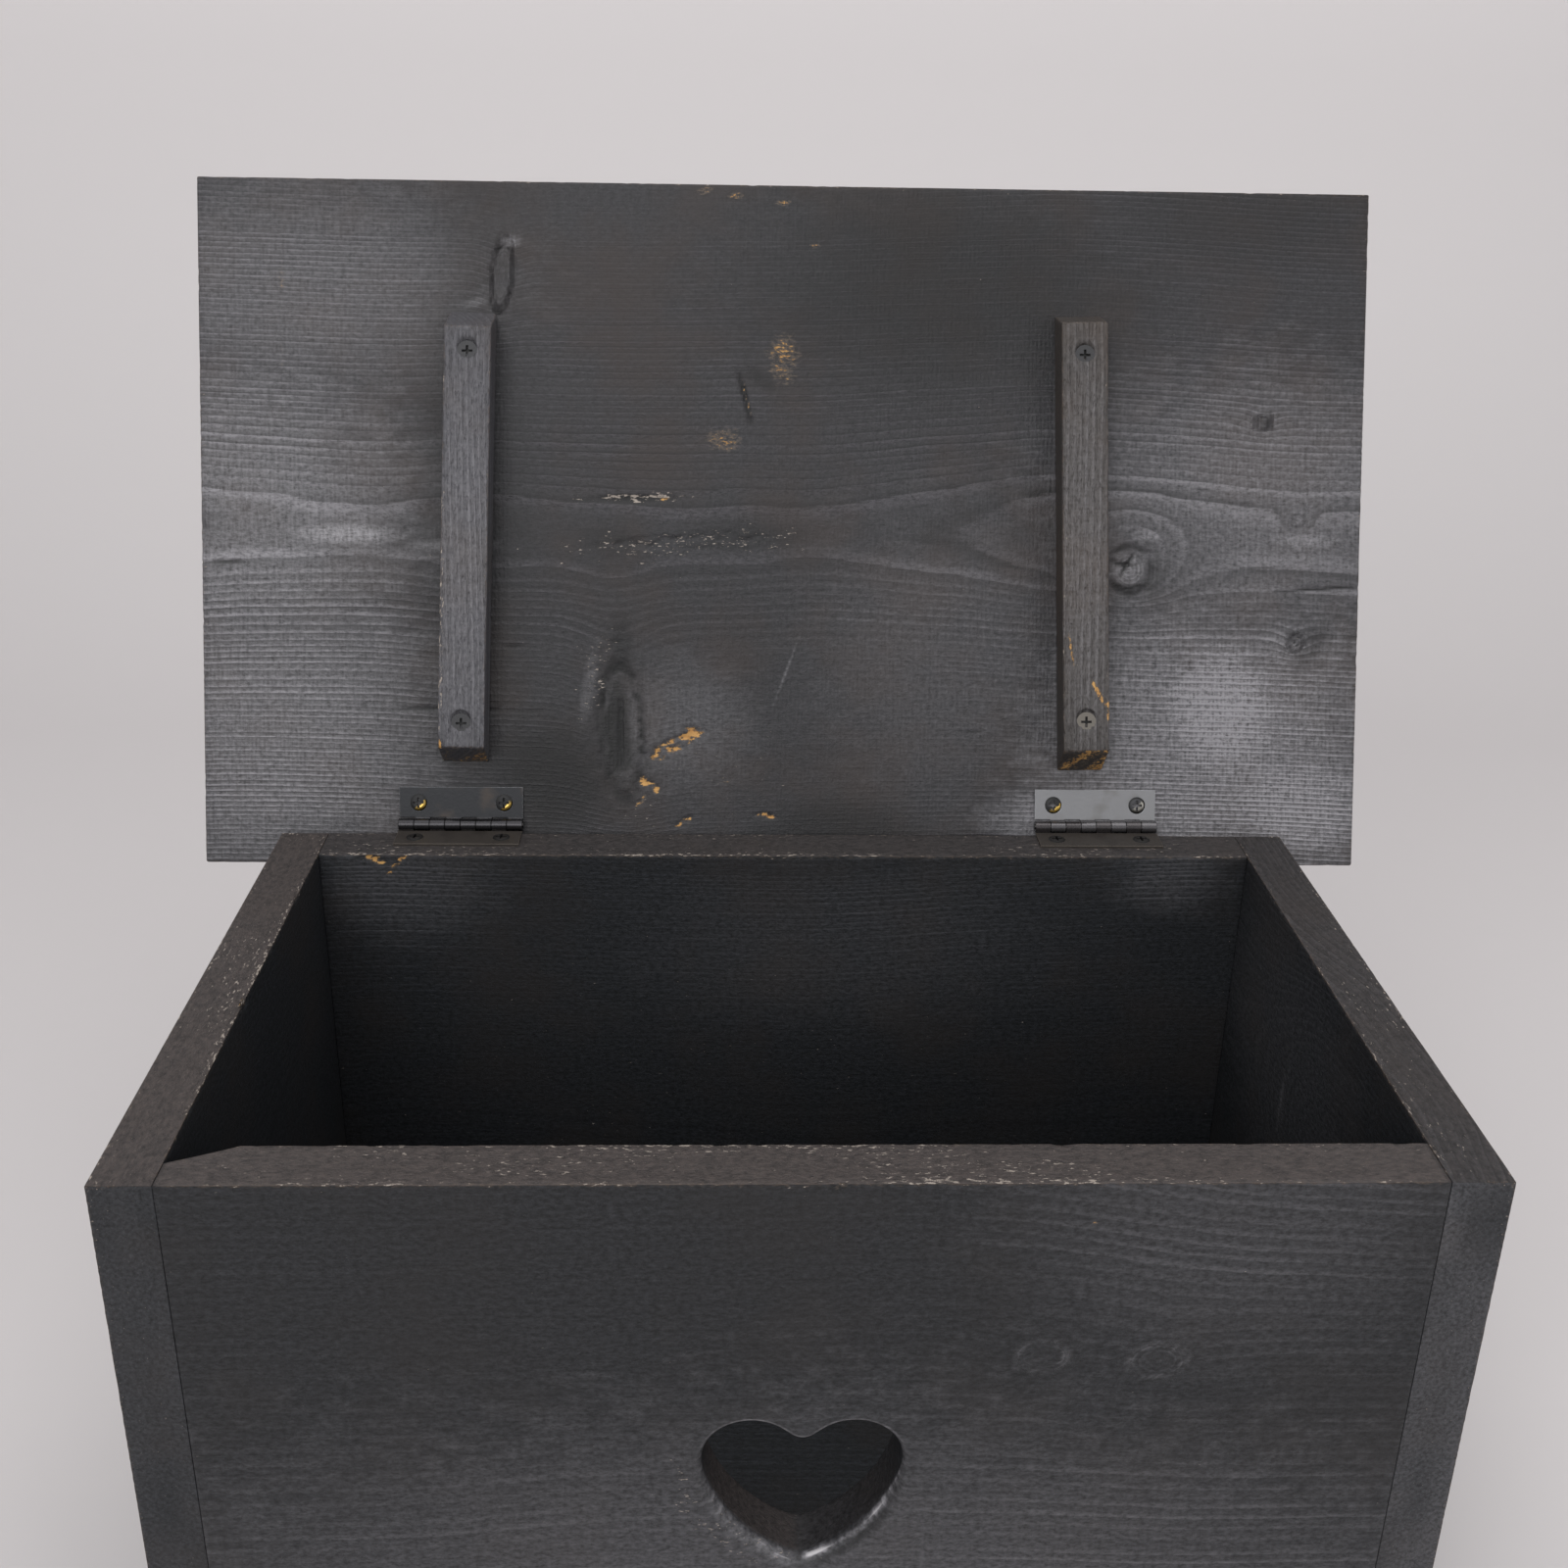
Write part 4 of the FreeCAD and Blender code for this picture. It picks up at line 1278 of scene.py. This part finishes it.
def screw_wells(lay: Lay, screws: list[str], radius_mm: float, strength: float) -> list[Mark]:
    """Sinks a well into a board for each of its screws' heads.

    Args:
        lay: How the board lies.
        screws: The screws' CAD nodes.
        radius_mm: How wide each well is.
        strength: How dark its rim is.

    Returns:
        The wells.
    """
    wells = []
    for screw in screws:
        along, across, _ = lay.local(centre_of(screw))
        row = (along - lay.size[0] / 2, across, radius_mm, radius_mm, strength, 0, WELL_DEPTH_MM)
        wells += marks(MarkKind.HOLE, row)
    return wells


@dataclass(frozen=True)
class SideWear:
    """How one side board differs from the other."""

    shows: tuple[float, float, float]
    seed: int
    rim_wear: float
    rim_lines: float
    rim_knocks: float
    end_pale: float
    pith_swing: float


@dataclass
class Box:
    """The open box: four walls and a bottom."""

    ease: float = 0.35
    screw_head_mm: float = 3.5
    screw_margin_mm: float = 1.2
    left: SideWear = SideWear((1, 0, 0), 13, 1.0, 0.2, 1.05, 0.11, 3.0)
    right: SideWear = SideWear((-1, 0, 0), 14, 0.45, 1.8, 0.72, 0.28, 15.0)

    def build(self) -> None:
        """Builds and dresses the five boards."""
        walls = StainedSpruce(
            name="stained_spruce_walls",
            early="101214",
            late="33353a",
            brown="26211f",
            tooth_share=0.08,
            ring_relief_mm=0.05,
            comb_relief_mm=0.012,
            mottle_relief_mm=0.16,
            roughness=0.56,
            line_contrast=0.45,
            mottle_share=1.7,
        )
        front = StainedSpruce(
            name="stained_spruce_front",
            early="111214",
            late="37383c",
            brown="262322",
            brown_share=0.35,
            tooth_share=0.06,
            ring_relief_mm=0.02,
            comb_relief_mm=0.004,
            mottle_relief_mm=0.1,
            line_contrast=0.22,
            mottle_share=1.9,
            # Painted highlight: the glint colour, used on the heart's round-over.
            glint_share=0.9,
        )
        wall_finish = walls.build()
        HeartBoard(
            "front_board",
            "box",
            (0, -1, 0),
            front.build(),
            seed=11,
            pith_across=330,
            pith_swing=14,
            sweep_mm=6.0,
            ring_mm=4.2,
            relief_mm=0.02,
            ease=self.ease,
            closed_ends=EndFit.BETWEEN,
            rim_knocks=1.15,
            marks=self.front_marks(),
        ).build()
        Board(
            "back_board",
            "box",
            (0, -1, 0),
            wall_finish,
            seed=12,
            step_along=2.4,
            step_across=1.5,
            pith_across=70,
            pith_depth=70,
            ease=self.ease,
            closed_ends=EndFit.BETWEEN,
            rim_wear=0.55,
            marks=self.back_marks(),
        ).build()
        for side, wear in (("left", self.left), ("right", self.right)):
            Board(
                f"{side}_side_board",
                "box",
                wear.shows,
                wall_finish,
                seed=wear.seed,
                step_along=1.7,
                step_across=1.6,
                step_deep=1.3,
                pith_across=150,
                pith_depth=50,
                pith_swing=wear.pith_swing,
                rim_lines=wear.rim_lines,
                rim_knocks=wear.rim_knocks,
                end_pale=wear.end_pale,
                ease=self.ease,
                nibble_mm=0.9,
                closed_ends=EndFit.COVERING,
                rim_wear=wear.rim_wear,
                marks=self.side_marks(side),
            ).build()
        self.bottom(wall_finish)

    def bottom(self, finish: bpy.types.Material) -> None:
        """Builds the bottom board, with a countersink for each of its screws.

        Args:
            finish: The stain.
        """
        screws = [f"bottom_screw_{number}" for number in range(1, BOTTOM_SCREWS + 1)]
        shows = (0, 0, -1)
        wells = screw_wells(Lay.of("bottom_board", shows), screws, self.screw_head_mm, 0.4)
        reach = self.screw_head_mm + self.screw_margin_mm
        Board(
            "bottom_board",
            "box",
            shows,
            finish,
            seed=15,
            step_along=4.0,
            step_across=2.4,
            zones_along=[(well.along - reach, well.along + reach, 0.6) for well in wells],
            zones_across=[(well.across - reach, well.across + reach, 0.6) for well in wells],
            scuffed_edge=False,
            marks=wells,
        ).build()

    @staticmethod
    def front_marks() -> list[Mark]:
        """Lists the marks on the front board.

        Returns:
            The marks.
        """
        kind = MarkKind
        return [
            *marks(kind.KNOT, (70, 153, 10, 7, 0.3, 0, 0.08), (104, 151, 11, 8, 0.12, 0, 0.06)),
            # Painted sheen: paler, smoother patches.
            *marks(kind.SHINE, (120, 205, 70, 62, 0.22), (0, 50, 230, 90, 0.42)),
            *marks(kind.CALM, (-50, 90, 190, 150, 0.65)),
            *marks(kind.CHIP, (8, 213.4, 2.4, 1.4, 0.6, 0, 0.9), (82, 200, 2.2, 0.8, 0.85, -25, 0.3)),
            *marks(kind.FLECKS, (-26, 85, 20, 3.0, 1.1, -44), (-36, 104, 3, 10, 1.0, 10)),
            *marks(kind.CRACK, (-30, 153, 22, 0.5, 0.5, 14, 0.1)),
        ]

    @staticmethod
    def back_marks() -> list[Mark]:
        """Lists the marks on the back board's inner face.

        Returns:
            The marks.
        """
        kind = MarkKind
        return [
            *marks(
                kind.CHIP,
                (-159, 211.4, 6.5, 1.0, 1.7, -26, 0.8), (-149.8, 211.8, 5.5, 1.0, 1.8, 45, 0.8),
            ),
            *marks(kind.RUB, (-158.5, 211.6, 7.0, 0.9, 1.15, -26), (-149.8, 211.8, 6.5, 0.9, 1.2, 45)),
            *marks(kind.CALM, (0, 90, 230, 110, 0.7)),
            # Painted sheen: paler, smoother patches.
            *marks(kind.SHINE, (-150, 200, 40, 26, 0.2), (152, 203, 24, 16, 0.25), (20, 175, 90, 40, 0.12)),
            *marks(kind.FLECKS, (-20, 120, 180, 60, 0.25)),
        ]

    @staticmethod
    def side_marks(side: str) -> list[Mark]:
        """Lists the marks on a side board's inner face.

        Args:
            side: Which side board.

        Returns:
            The marks.
        """
        plain = marks(MarkKind.CALM, (0, 100, 190, 150, 0.85))
        if side == "left":
            return plain + marks(MarkKind.CHIP, (-16, 213, 2.2, 1.5, 0.6, 0, 1.2))
        # Painted sheen: paler, smoother patches.
        return plain + marks(
            MarkKind.SHINE,
            (30, 170, 90, 60, 0.22), (-20, 120, 60, 90, 0.15), (20, 160, 4, 34, 0.3), (23, 150, 2.5, 16, 0.6),
        )


@dataclass(frozen=True)
class BattenWear:
    """How one batten differs from the other."""

    front_bevel: float
    rear_bevel: float
    seed: int
    rear_rub: float


@dataclass
class Lid:
    """The lid plank with its two battens. Its underside is the show face."""

    rear_reach_mm: float = 15.6
    screw_head_mm: float = 3.75
    screw_zone_mm: float = 6.0
    left: BattenWear = BattenWear(8.3, 6.4, 31, 0.68)
    right: BattenWear = BattenWear(5.3, 8.6, 32, 0.92)

    def build(self) -> None:
        """Builds and dresses the plank and the battens."""
        plank = StainedSpruce(
            name="stained_spruce_lid",
            early="212123",
            late="3f3d41",
            brown="362e2b",
            brown_share=0.6,
            roughness=0.46,
            tooth_share=0.15,
            mottle_share=1.6,
        )
        Board(
            "lid_board",
            "lid",
            LID_SHOWS,
            plank.build(),
            seed=21,
            step_along=2.9,
            step_across=0.9,
            far_stride=3,
            pith_across=131,
            pith_depth=64,
            pith_swing=3.4,
            ring_mm=1.68,
            relief_mm=0.14,
            scuffed_edge=False,
            zones_along=[(-86, -36, 1.0), (-26, 8, 0.9), (128, 150, 1.0), (200, 212, 1.2), (-119, -107, 1.0)],
            marks=self.plank_marks(),
        ).build()
        strip = StainedSpruce(
            name="stained_batten",
            early="2b2b2e",
            late="5c5b60",
            brown="4a423d",
            line_contrast=0.4,
            fibre_share=0.9,
            comb_relief_mm=0.0,
            pore_relief_mm=0.25,
            fibre_relief_mm=0.15,
            mottle_relief_mm=0.3,
        )
        browner = replace(strip, name="stained_batten_brown", early="262322", late="4a4542", brown="4e423a")
        self.batten("left", self.left, strip.build())
        self.batten("right", self.right, browner.build())

    def batten(self, side: str, wear: BattenWear, finish: bpy.types.Material) -> None:
        """Builds one batten, with a well for each of its two screws.

        Args:
            side: Which batten.
            wear: How it differs from the other one.
            finish: Its stain.
        """
        node = f"{side}_batten"
        screws = [f"{node}_screw_{end}" for end in ("front", "rear")]
        wells = screw_wells(Lay.of(node, LID_SHOWS), screws, self.screw_head_mm, 0.35)
        reach = self.screw_zone_mm
        Batten(
            node,
            "lid",
            LID_SHOWS,
            finish,
            seed=wear.seed,
            step_along=1.2,
            step_across=0.5,
            step_deep=0.8,
            pith_across=-20,
            pith_depth=12,
            pith_swing=0.6,
            wave_mm=0.1,
            sweep_mm=0.3,
            ring_mm=2.4,
            scuffed_edge=False,
            zones_along=[(well.along - reach, well.along + reach, 0.5) for well in wells],
            marks=wells + self.batten_marks(side),
            front_bevel=wear.front_bevel,
            rear_bevel=wear.rear_bevel,
            rear_rub=wear.rear_rub,
        ).build()

    def plank_marks(self) -> list[Mark]:
        """Lists the marks on the plank's underside, first measured up from the rim of the box.

        Returns:
            The marks.
        """
        kind = MarkKind
        from_rim = [
            *marks(
                kind.KNOT,
                (-113, 217, 4.2, 14, 1.3, -6, 0.45), (138, 104, 9, 9.5, 1.2, 0, 0.6),
                (191, 163, 3.6, 3.0, 0.5, 0, 0.3), (206, 124, 3, 2.6, 0.5, 0, 0.25),
                (206, 75, 3.2, 3.8, 0.6, 0, 0.35), (-66, 38, 8.5, 27, 1.6, 3, 0.45),
            ),
            # Painted sheen, with a few rubbed-smooth tongues and knot discs: the paler, smoother patches.
            *marks(
                kind.SHINE,
                (-110, 230, 4, 3, 1.0), (-124, 206, 7, 2.5, 0.7, 20), (138, 104, 9, 9, 0.9),
                (198, 76, 9, 6, 0.8), (-61, 40, 3.5, 15, 0.45, 3), (-79, 56, 3, 17, 0.35, -10),
                (-54, 42, 2.5, 20, 0.35, 8), (-176, 115.5, 28, 5.6, 1.7), (-134, 111, 22, 3.0, 0.9),
                (145, 117.5, 10, 3.4, 1.2), (209, 116, 22, 4.6, 1.3), (0, 62, 15, 0.4, 0.9, 70),
                (-215, 120, 75, 80, 0.85), (-205, 40, 75, 80, 0.8), (-200, 210, 90, 50, 0.5),
                (172, 30, 82, 72, 1.15), (176, 46, 30, 34, 2.1), (120, 4, 40, 18, 1.2),
                (205, 10, 40, 30, 1.5), (190, 130, 90, 60, 0.7), (-40, 40, 30, 30, 0.35),
                (65, 70, 60, 70, 0.25),
            ),
            *marks(
                kind.SMEAR,
                (148, 101, 5, 9, 0.5, -20), (192, 162, 2.2, 3.4, 0.7, -30), (213, 74, 5, 14, 0.4, -30),
                (-68, 37, 7.5, 27, 0.9, 3), (-66, 72, 5.0, 16, 0.5, 3), (-11, 178, 10, 4, 0.5, -35),
                (-17, 116, 28, 8, 0.35), (-96, 18, 30, 26, 0.75, -30), (-122, 130, 22, 150, 0.35),
                (60, 215, 90, 50, 0.6), (20, -2, 40, 14, 0.6), (180, 245, 70, 26, 0.35),
            ),
            *marks(
                kind.CRACK,
                (-17, 170, 0.7, 13.5, 1.0, 14, 1.2), (-66, 40, 0.6, 19, 1.0, 2, 0.8),
                (137, 106, 0.8, 6, 1.0, -30, 0.9), (135, 106, 5, 0.8, 1.0, -12, 0.8),
                (138, 96.5, 6, 0.7, 1.0, 12, 0.5), (-222, 104, 12, 0.6, 1.0, 0, 0.8),
                (213, 96.5, 20, 0.6, 1.0, 4, 0.8), (-130, 46, 29, 0.55, 1.0, -1, 0.7),
                (-108, 71, 5.5, 0.6, 1.0, 0, 0.6), (74.5, 38, 4, 0.5, 0.7, 0, 0.3),
                (88, 44, 6.5, 0.5, 0.6, -50, 0.2), (206, 75, 3.4, 0.6, 1.0, -45, 0.5),
                (-63, 130, 17, 1.6, 0.8, 0, 0.6),
            ),
            *marks(
                kind.RUB,
                (-16.3, 170, 0.5, 12, 0.75, 14), (-49, 130, 2.4, 1.2, 0.8), (-200, 214, 1.7, 13, 0.85),
                (-200, 186, 1.6, 26, 0.5), (-2, 186, 9, 14, 0.62), (-25, 154, 11, 7, 0.6),
                (-33, 251, 5, 2.2, 0.7, 20), (-21, 249, 4, 1.6, 0.72), (-2, 246.5, 4, 1.5, 0.7),
                (10, 230, 4, 1.2, 0.85),
            ),
            *marks(
                kind.FLECKS,
                (-63, 130, 17, 2.0, 1.6), (-42, 113, 44, 4.5, 1.1, 4, 0.9), (-22, 20, 24, 24, 0.45),
                (-76, 62, 5, 18, 0.9, -8, 0.3), (-58, 6, 5, 7, 0.8),
            ),
            *marks(
                kind.CALM,
                (-172, 114.5, 34, 9, 0.95), (206, 116, 26, 8, 0.9), (152, 108, 40, 20, 0.6),
                (96, 118, 45, 14, 0.75), (-60, 262, 190, 46, 0.85), (0, 40, 130, 70, 0.8),
                (-66, 38, 16, 40, 0.9),
            ),
            *marks(
                kind.CHIP,
                (-45, 32.5, 8, 2.6, 0.84, 30, 0.5), (-38, 36.5, 5, 2.6, 1.1, 20, 0.5),
                (-32, 39, 1.8, 1.0, 0.9, 30, 0.3), (-51, 27.5, 4.5, 2.4, 0.84, 35, 0.45),
                (-56.5, 17.5, 2.6, 1.6, 0.95, -30, 0.45), (-53, 15, 1.4, 2.6, 0.95, 20, 0.45),
                (-58, 10.0, 2.6, 1.2, 0.85, 30, 0.3), (-40, 1.6, 2.8, 1.5, 0.92, 40, 0.4),
                (-8, 4, 5, 1.1, 1.0, -6, 0.4), (-24, 18, 1.8, 1.2, 0.9, 30, 0.3),
            ),
        ]
        return [replace(mark, across=mark.across + self.rear_reach_mm) for mark in from_rim]

    @staticmethod
    def batten_marks(side: str) -> list[Mark]:
        """Lists the marks on a batten, along it from its middle and across it from its lower edge.

        Args:
            side: Which batten.

        Returns:
            The marks.
        """
        kind = MarkKind
        # Painted sheen: a paler, smoother band along the batten.
        sheen = marks(kind.SHINE, (-10, 9, 110, 14, 0.4))
        if side == "left":
            return [
                *sheen,
                *marks(kind.FLECKS, (-35, 0.8, 55, 1.2, 1.0)),
                *marks(kind.CHIP, (-82, 0.6, 2.2, 1.4, 0.8, 0, 0.6)),
            ]
        return [
            *sheen,
            *marks(
                kind.RUB,
                (-42, 3.2, 9, 0.9, 0.95, -9), (-59, 13.9, 9.5, 1.3, 1.1, -28), (-66, 17.8, 5, 0.8, 1.0),
            ),
            *marks(kind.FLECKS, (-20, 5, 40, 3, 0.5, -5)),
        ]


@dataclass
class Hardware:
    """The hinges, screws and dowels: CAD nodes that keep their shape and get their metal."""

    dowels_to_a_corner: int = 3

    def build(self) -> None:
        """Dresses every leaf, pin, screw and dowel."""
        black = HingeSteel("hinge_steel_black", paint="1d1e21")
        # Painted reflection: the right lid leaf is a lit copy of the black steel, in a light grey paint with
        # a lighter barrel.
        lit_copy = HingeSteel(
            "hinge_steel_wiped", paint="8c8c8e", dirt="787674", barrel="5f5d5f", metallic=0.75
        )
        stained = HingeSteel(
            "hinge_steel_stained",
            paint="332e2a",
            dirt="241f1c",
            steel="6b6156",
            metallic=0.15,
            roughness=0.55,
            speck_mm=0.9,
        )
        # Painted highlight: the right box leaf's barrel is lighter.
        lit_stained = replace(stained, name="hinge_steel_stained_bright", barrel="4d4a4b")
        pin = HingeSteel(
            "pin_steel", paint="4d4a48", barrel="3a3838", metallic=0.9, roughness=0.38, rub_share=0.9
        )
        for side, lid_steel, box_steel in (("left", black, stained), ("right", lit_copy, lit_stained)):
            axis = centre_of(f"{side}_hinge_pin")
            for piece, steel in (("lid_leaf", lid_steel), ("box_leaf", box_steel), ("pin", pin)):
                self.dress(f"{side}_hinge_{piece}", steel.build(axis))
        half = ScrewMetal("brass_half_stained")
        dulled = ScrewMetal("brass_dulled", metal="8d8a84", cover="3a3a3d", bare_edge_mm=-1.0)
        covered = ScrewMetal("brass_stained_over", metal="5f5138", cover="1d1a19", bare_edge_mm=2.2)
        blackened = ScrewMetal(
            "blackened_screw", metal="77777a", cover="333335", bare_edge_mm=0.6, bare_soft_mm=2.5
        )
        worn = replace(blackened, name="worn_screw", metal="a59c90", cover="6a655e")
        lid_faces = Vector(tuple(-Lay.of("lid_board", LID_SHOWS).axes[2]))
        for side in ("left", "right"):
            for number in (1, 2):
                metal = dulled if (side, number) == ("right", 2) else half
                self.drive(f"{side}_hinge_lid_screw_{number}", metal, lid_faces)
                self.drive(f"{side}_hinge_box_screw_{number}", covered, Vector((0, 0, 1)))
            for end in ("front", "rear"):
                metal = worn if (side, end) == ("right", "rear") else blackened
                self.drive(f"{side}_batten_screw_{end}", metal, lid_faces)
        for number in range(1, BOTTOM_SCREWS + 1):
            self.drive(f"bottom_screw_{number}", blackened, Vector((0, 0, -1)))
        beech = Beech().build()
        for corner in ("front_left", "front_right", "back_left", "back_right"):
            for number in range(1, self.dowels_to_a_corner + 1):
                self.dress(f"{corner}_dowel_{number}", beech)

    def drive(self, node: str, metal: ScrewMetal, out: Vector) -> None:
        """Dresses one screw.

        Args:
            node: The screw's CAD node.
            metal: Its metal.
            out: The way its head looks.
        """
        top = max(v.co.dot(out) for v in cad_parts[node].data.vertices)
        self.dress(node, metal.build(centre_of(node), out, top))

    @staticmethod
    def dress(node: str, material: bpy.types.Material) -> None:
        """Gives every slot of a CAD node one material.

        Args:
            node: The CAD node.
            material: Its finish.
        """
        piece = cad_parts[node]
        if not piece.material_slots:
            piece.data.materials.append(material)
        for slot in piece.material_slots:
            slot.material = material
        log.info("%s: %s", node, material.name)


# ---------------------------------------------------------------------------------------------------
# The studio
# ---------------------------------------------------------------------------------------------------


@dataclass
class Studio:
    """A pale paper sweep, soft lights and the camera."""

    paper: str = "c8c4c4"
    camera_place: tuple[float, float, float] = (-0.0239, -0.5222, 0.5199)
    camera_yaw_deg: float = 2.056
    camera_pitch_deg: float = 23.043
    camera_roll_deg: float = 1.068
    lens_mm: float = 40.27

    def build(self) -> None:
        """Builds the sweep, the lights and the camera."""
        self.sweep()
        self.light("overhead", (0.0, -0.1, 1.9), (0.0, 0.0, 0.2), 1.6, 14.0)
        self.light("window", (-0.6, -1.9, 1.5), (0.0, 0.0, 0.3), 1.5, 26.0)
        self.light("fill", (1.5, -1.4, 0.9), (0.0, 0.0, 0.3), 1.2, 8.0)
        world = bpy.data.worlds.new("room")
        world.use_nodes = True
        background = world.node_tree.nodes["Background"]
        background.inputs["Color"].default_value = tint("e8e8ea")
        background.inputs["Strength"].default_value = 0.55
        bpy.context.scene.world = world
        bpy.context.scene.view_settings.view_transform = "Standard"
        self.camera()

    def sweep(self) -> None:
        """Builds the paper: a floor that curves up into a wall behind."""
        half_width, front, back, radius, height = 3.2, -3.0, 1.3, 0.5, 3.0
        floor = -0.4 * MM
        profile = [(front, floor), (back - radius, floor)]
        for step in range(1, 13):
            turn = step / 12 * QUARTER_TURN
            rise = radius * (1 - math.cos(turn))
            profile.append((back - radius + radius * math.sin(turn), floor + rise))
        profile.append((back, height))
        points = [(x, y, z) for y, z in profile for x in (-half_width, half_width)]
        faces = [(2 * i, 2 * i + 1, 2 * i + 3, 2 * i + 2) for i in range(len(profile) - 1)]
        mesh = bpy.data.meshes.new("paper_sweep")
        mesh.from_pydata(points, [], faces)
        mesh.shade_smooth()
        paper = Recipe("paper")
        place = paper.put("TexCoord", take="Object")
        ground = paper.blend(paper.noise(place, 1.2), self.paper, "ccc8c8")
        high = paper.put("SeparateXYZ", {0: place}, take=2)
        # Painted light: the paper is painted paler with height, reaching e6e2e2 at 0.9 m up the wall.
        paper.into("Base Color", paper.blend(paper.ramp(high, -0.1, 0.9), ground, "e6e2e2"))
        paper.surface.inputs["Roughness"].default_value = 0.9
        mesh.materials.append(paper.material)
        piece = bpy.data.objects.new("paper_sweep", mesh)
        bpy.context.scene.collection.objects.link(piece)

    @staticmethod
    def light(
        name: str,
        place: tuple[float, float, float],
        aim: tuple[float, float, float],
        size: float,
        power: float,
    ) -> None:
        """Adds one soft square light.

        Args:
            name: Its name.
            place: Where it stands, in metres.
            aim: The point it looks at.
            size: The length of its side, in metres.
            power: Its power, in watts.
        """
        lamp = bpy.data.lights.new(name, "AREA")
        lamp.size = size
        lamp.energy = power
        piece = bpy.data.objects.new(name, lamp)
        piece.location = place
        piece.rotation_euler = (Vector(aim) - Vector(place)).to_track_quat("-Z", "Y").to_euler()
        bpy.context.scene.collection.objects.link(piece)

    def camera(self) -> None:
        """Adds the camera, a little above the open box and looking down into it."""
        yaw = math.radians(self.camera_yaw_deg)
        pitch = math.radians(self.camera_pitch_deg)
        roll = math.radians(self.camera_roll_deg)
        look = Vector((math.sin(yaw) * math.cos(pitch), math.cos(yaw) * math.cos(pitch), -math.sin(pitch)))
        level = Vector((math.cos(yaw), -math.sin(yaw), 0.0))
        above = level.cross(look)
        right = math.cos(roll) * level + math.sin(roll) * above
        up = -math.sin(roll) * level + math.cos(roll) * above
        lens = bpy.data.cameras.new("camera")
        lens.lens = self.lens_mm
        lens.sensor_width = 36.0
        lens.clip_start = 0.01
        piece = bpy.data.objects.new("camera", lens)
        turn = Matrix((right, up, -look)).transposed()
        piece.matrix_world = Matrix.Translation(self.camera_place) @ turn.to_4x4()
        bpy.context.scene.collection.objects.link(piece)
        bpy.context.scene.camera = piece


def main() -> None:
    """Builds the toy box and the studio around it."""
    logging.basicConfig(level=logging.INFO, format="%(message)s")
    Box().build()
    Lid().build()
    Hardware().build()
    Studio().build()


if __name__ == "__main__":
    main()
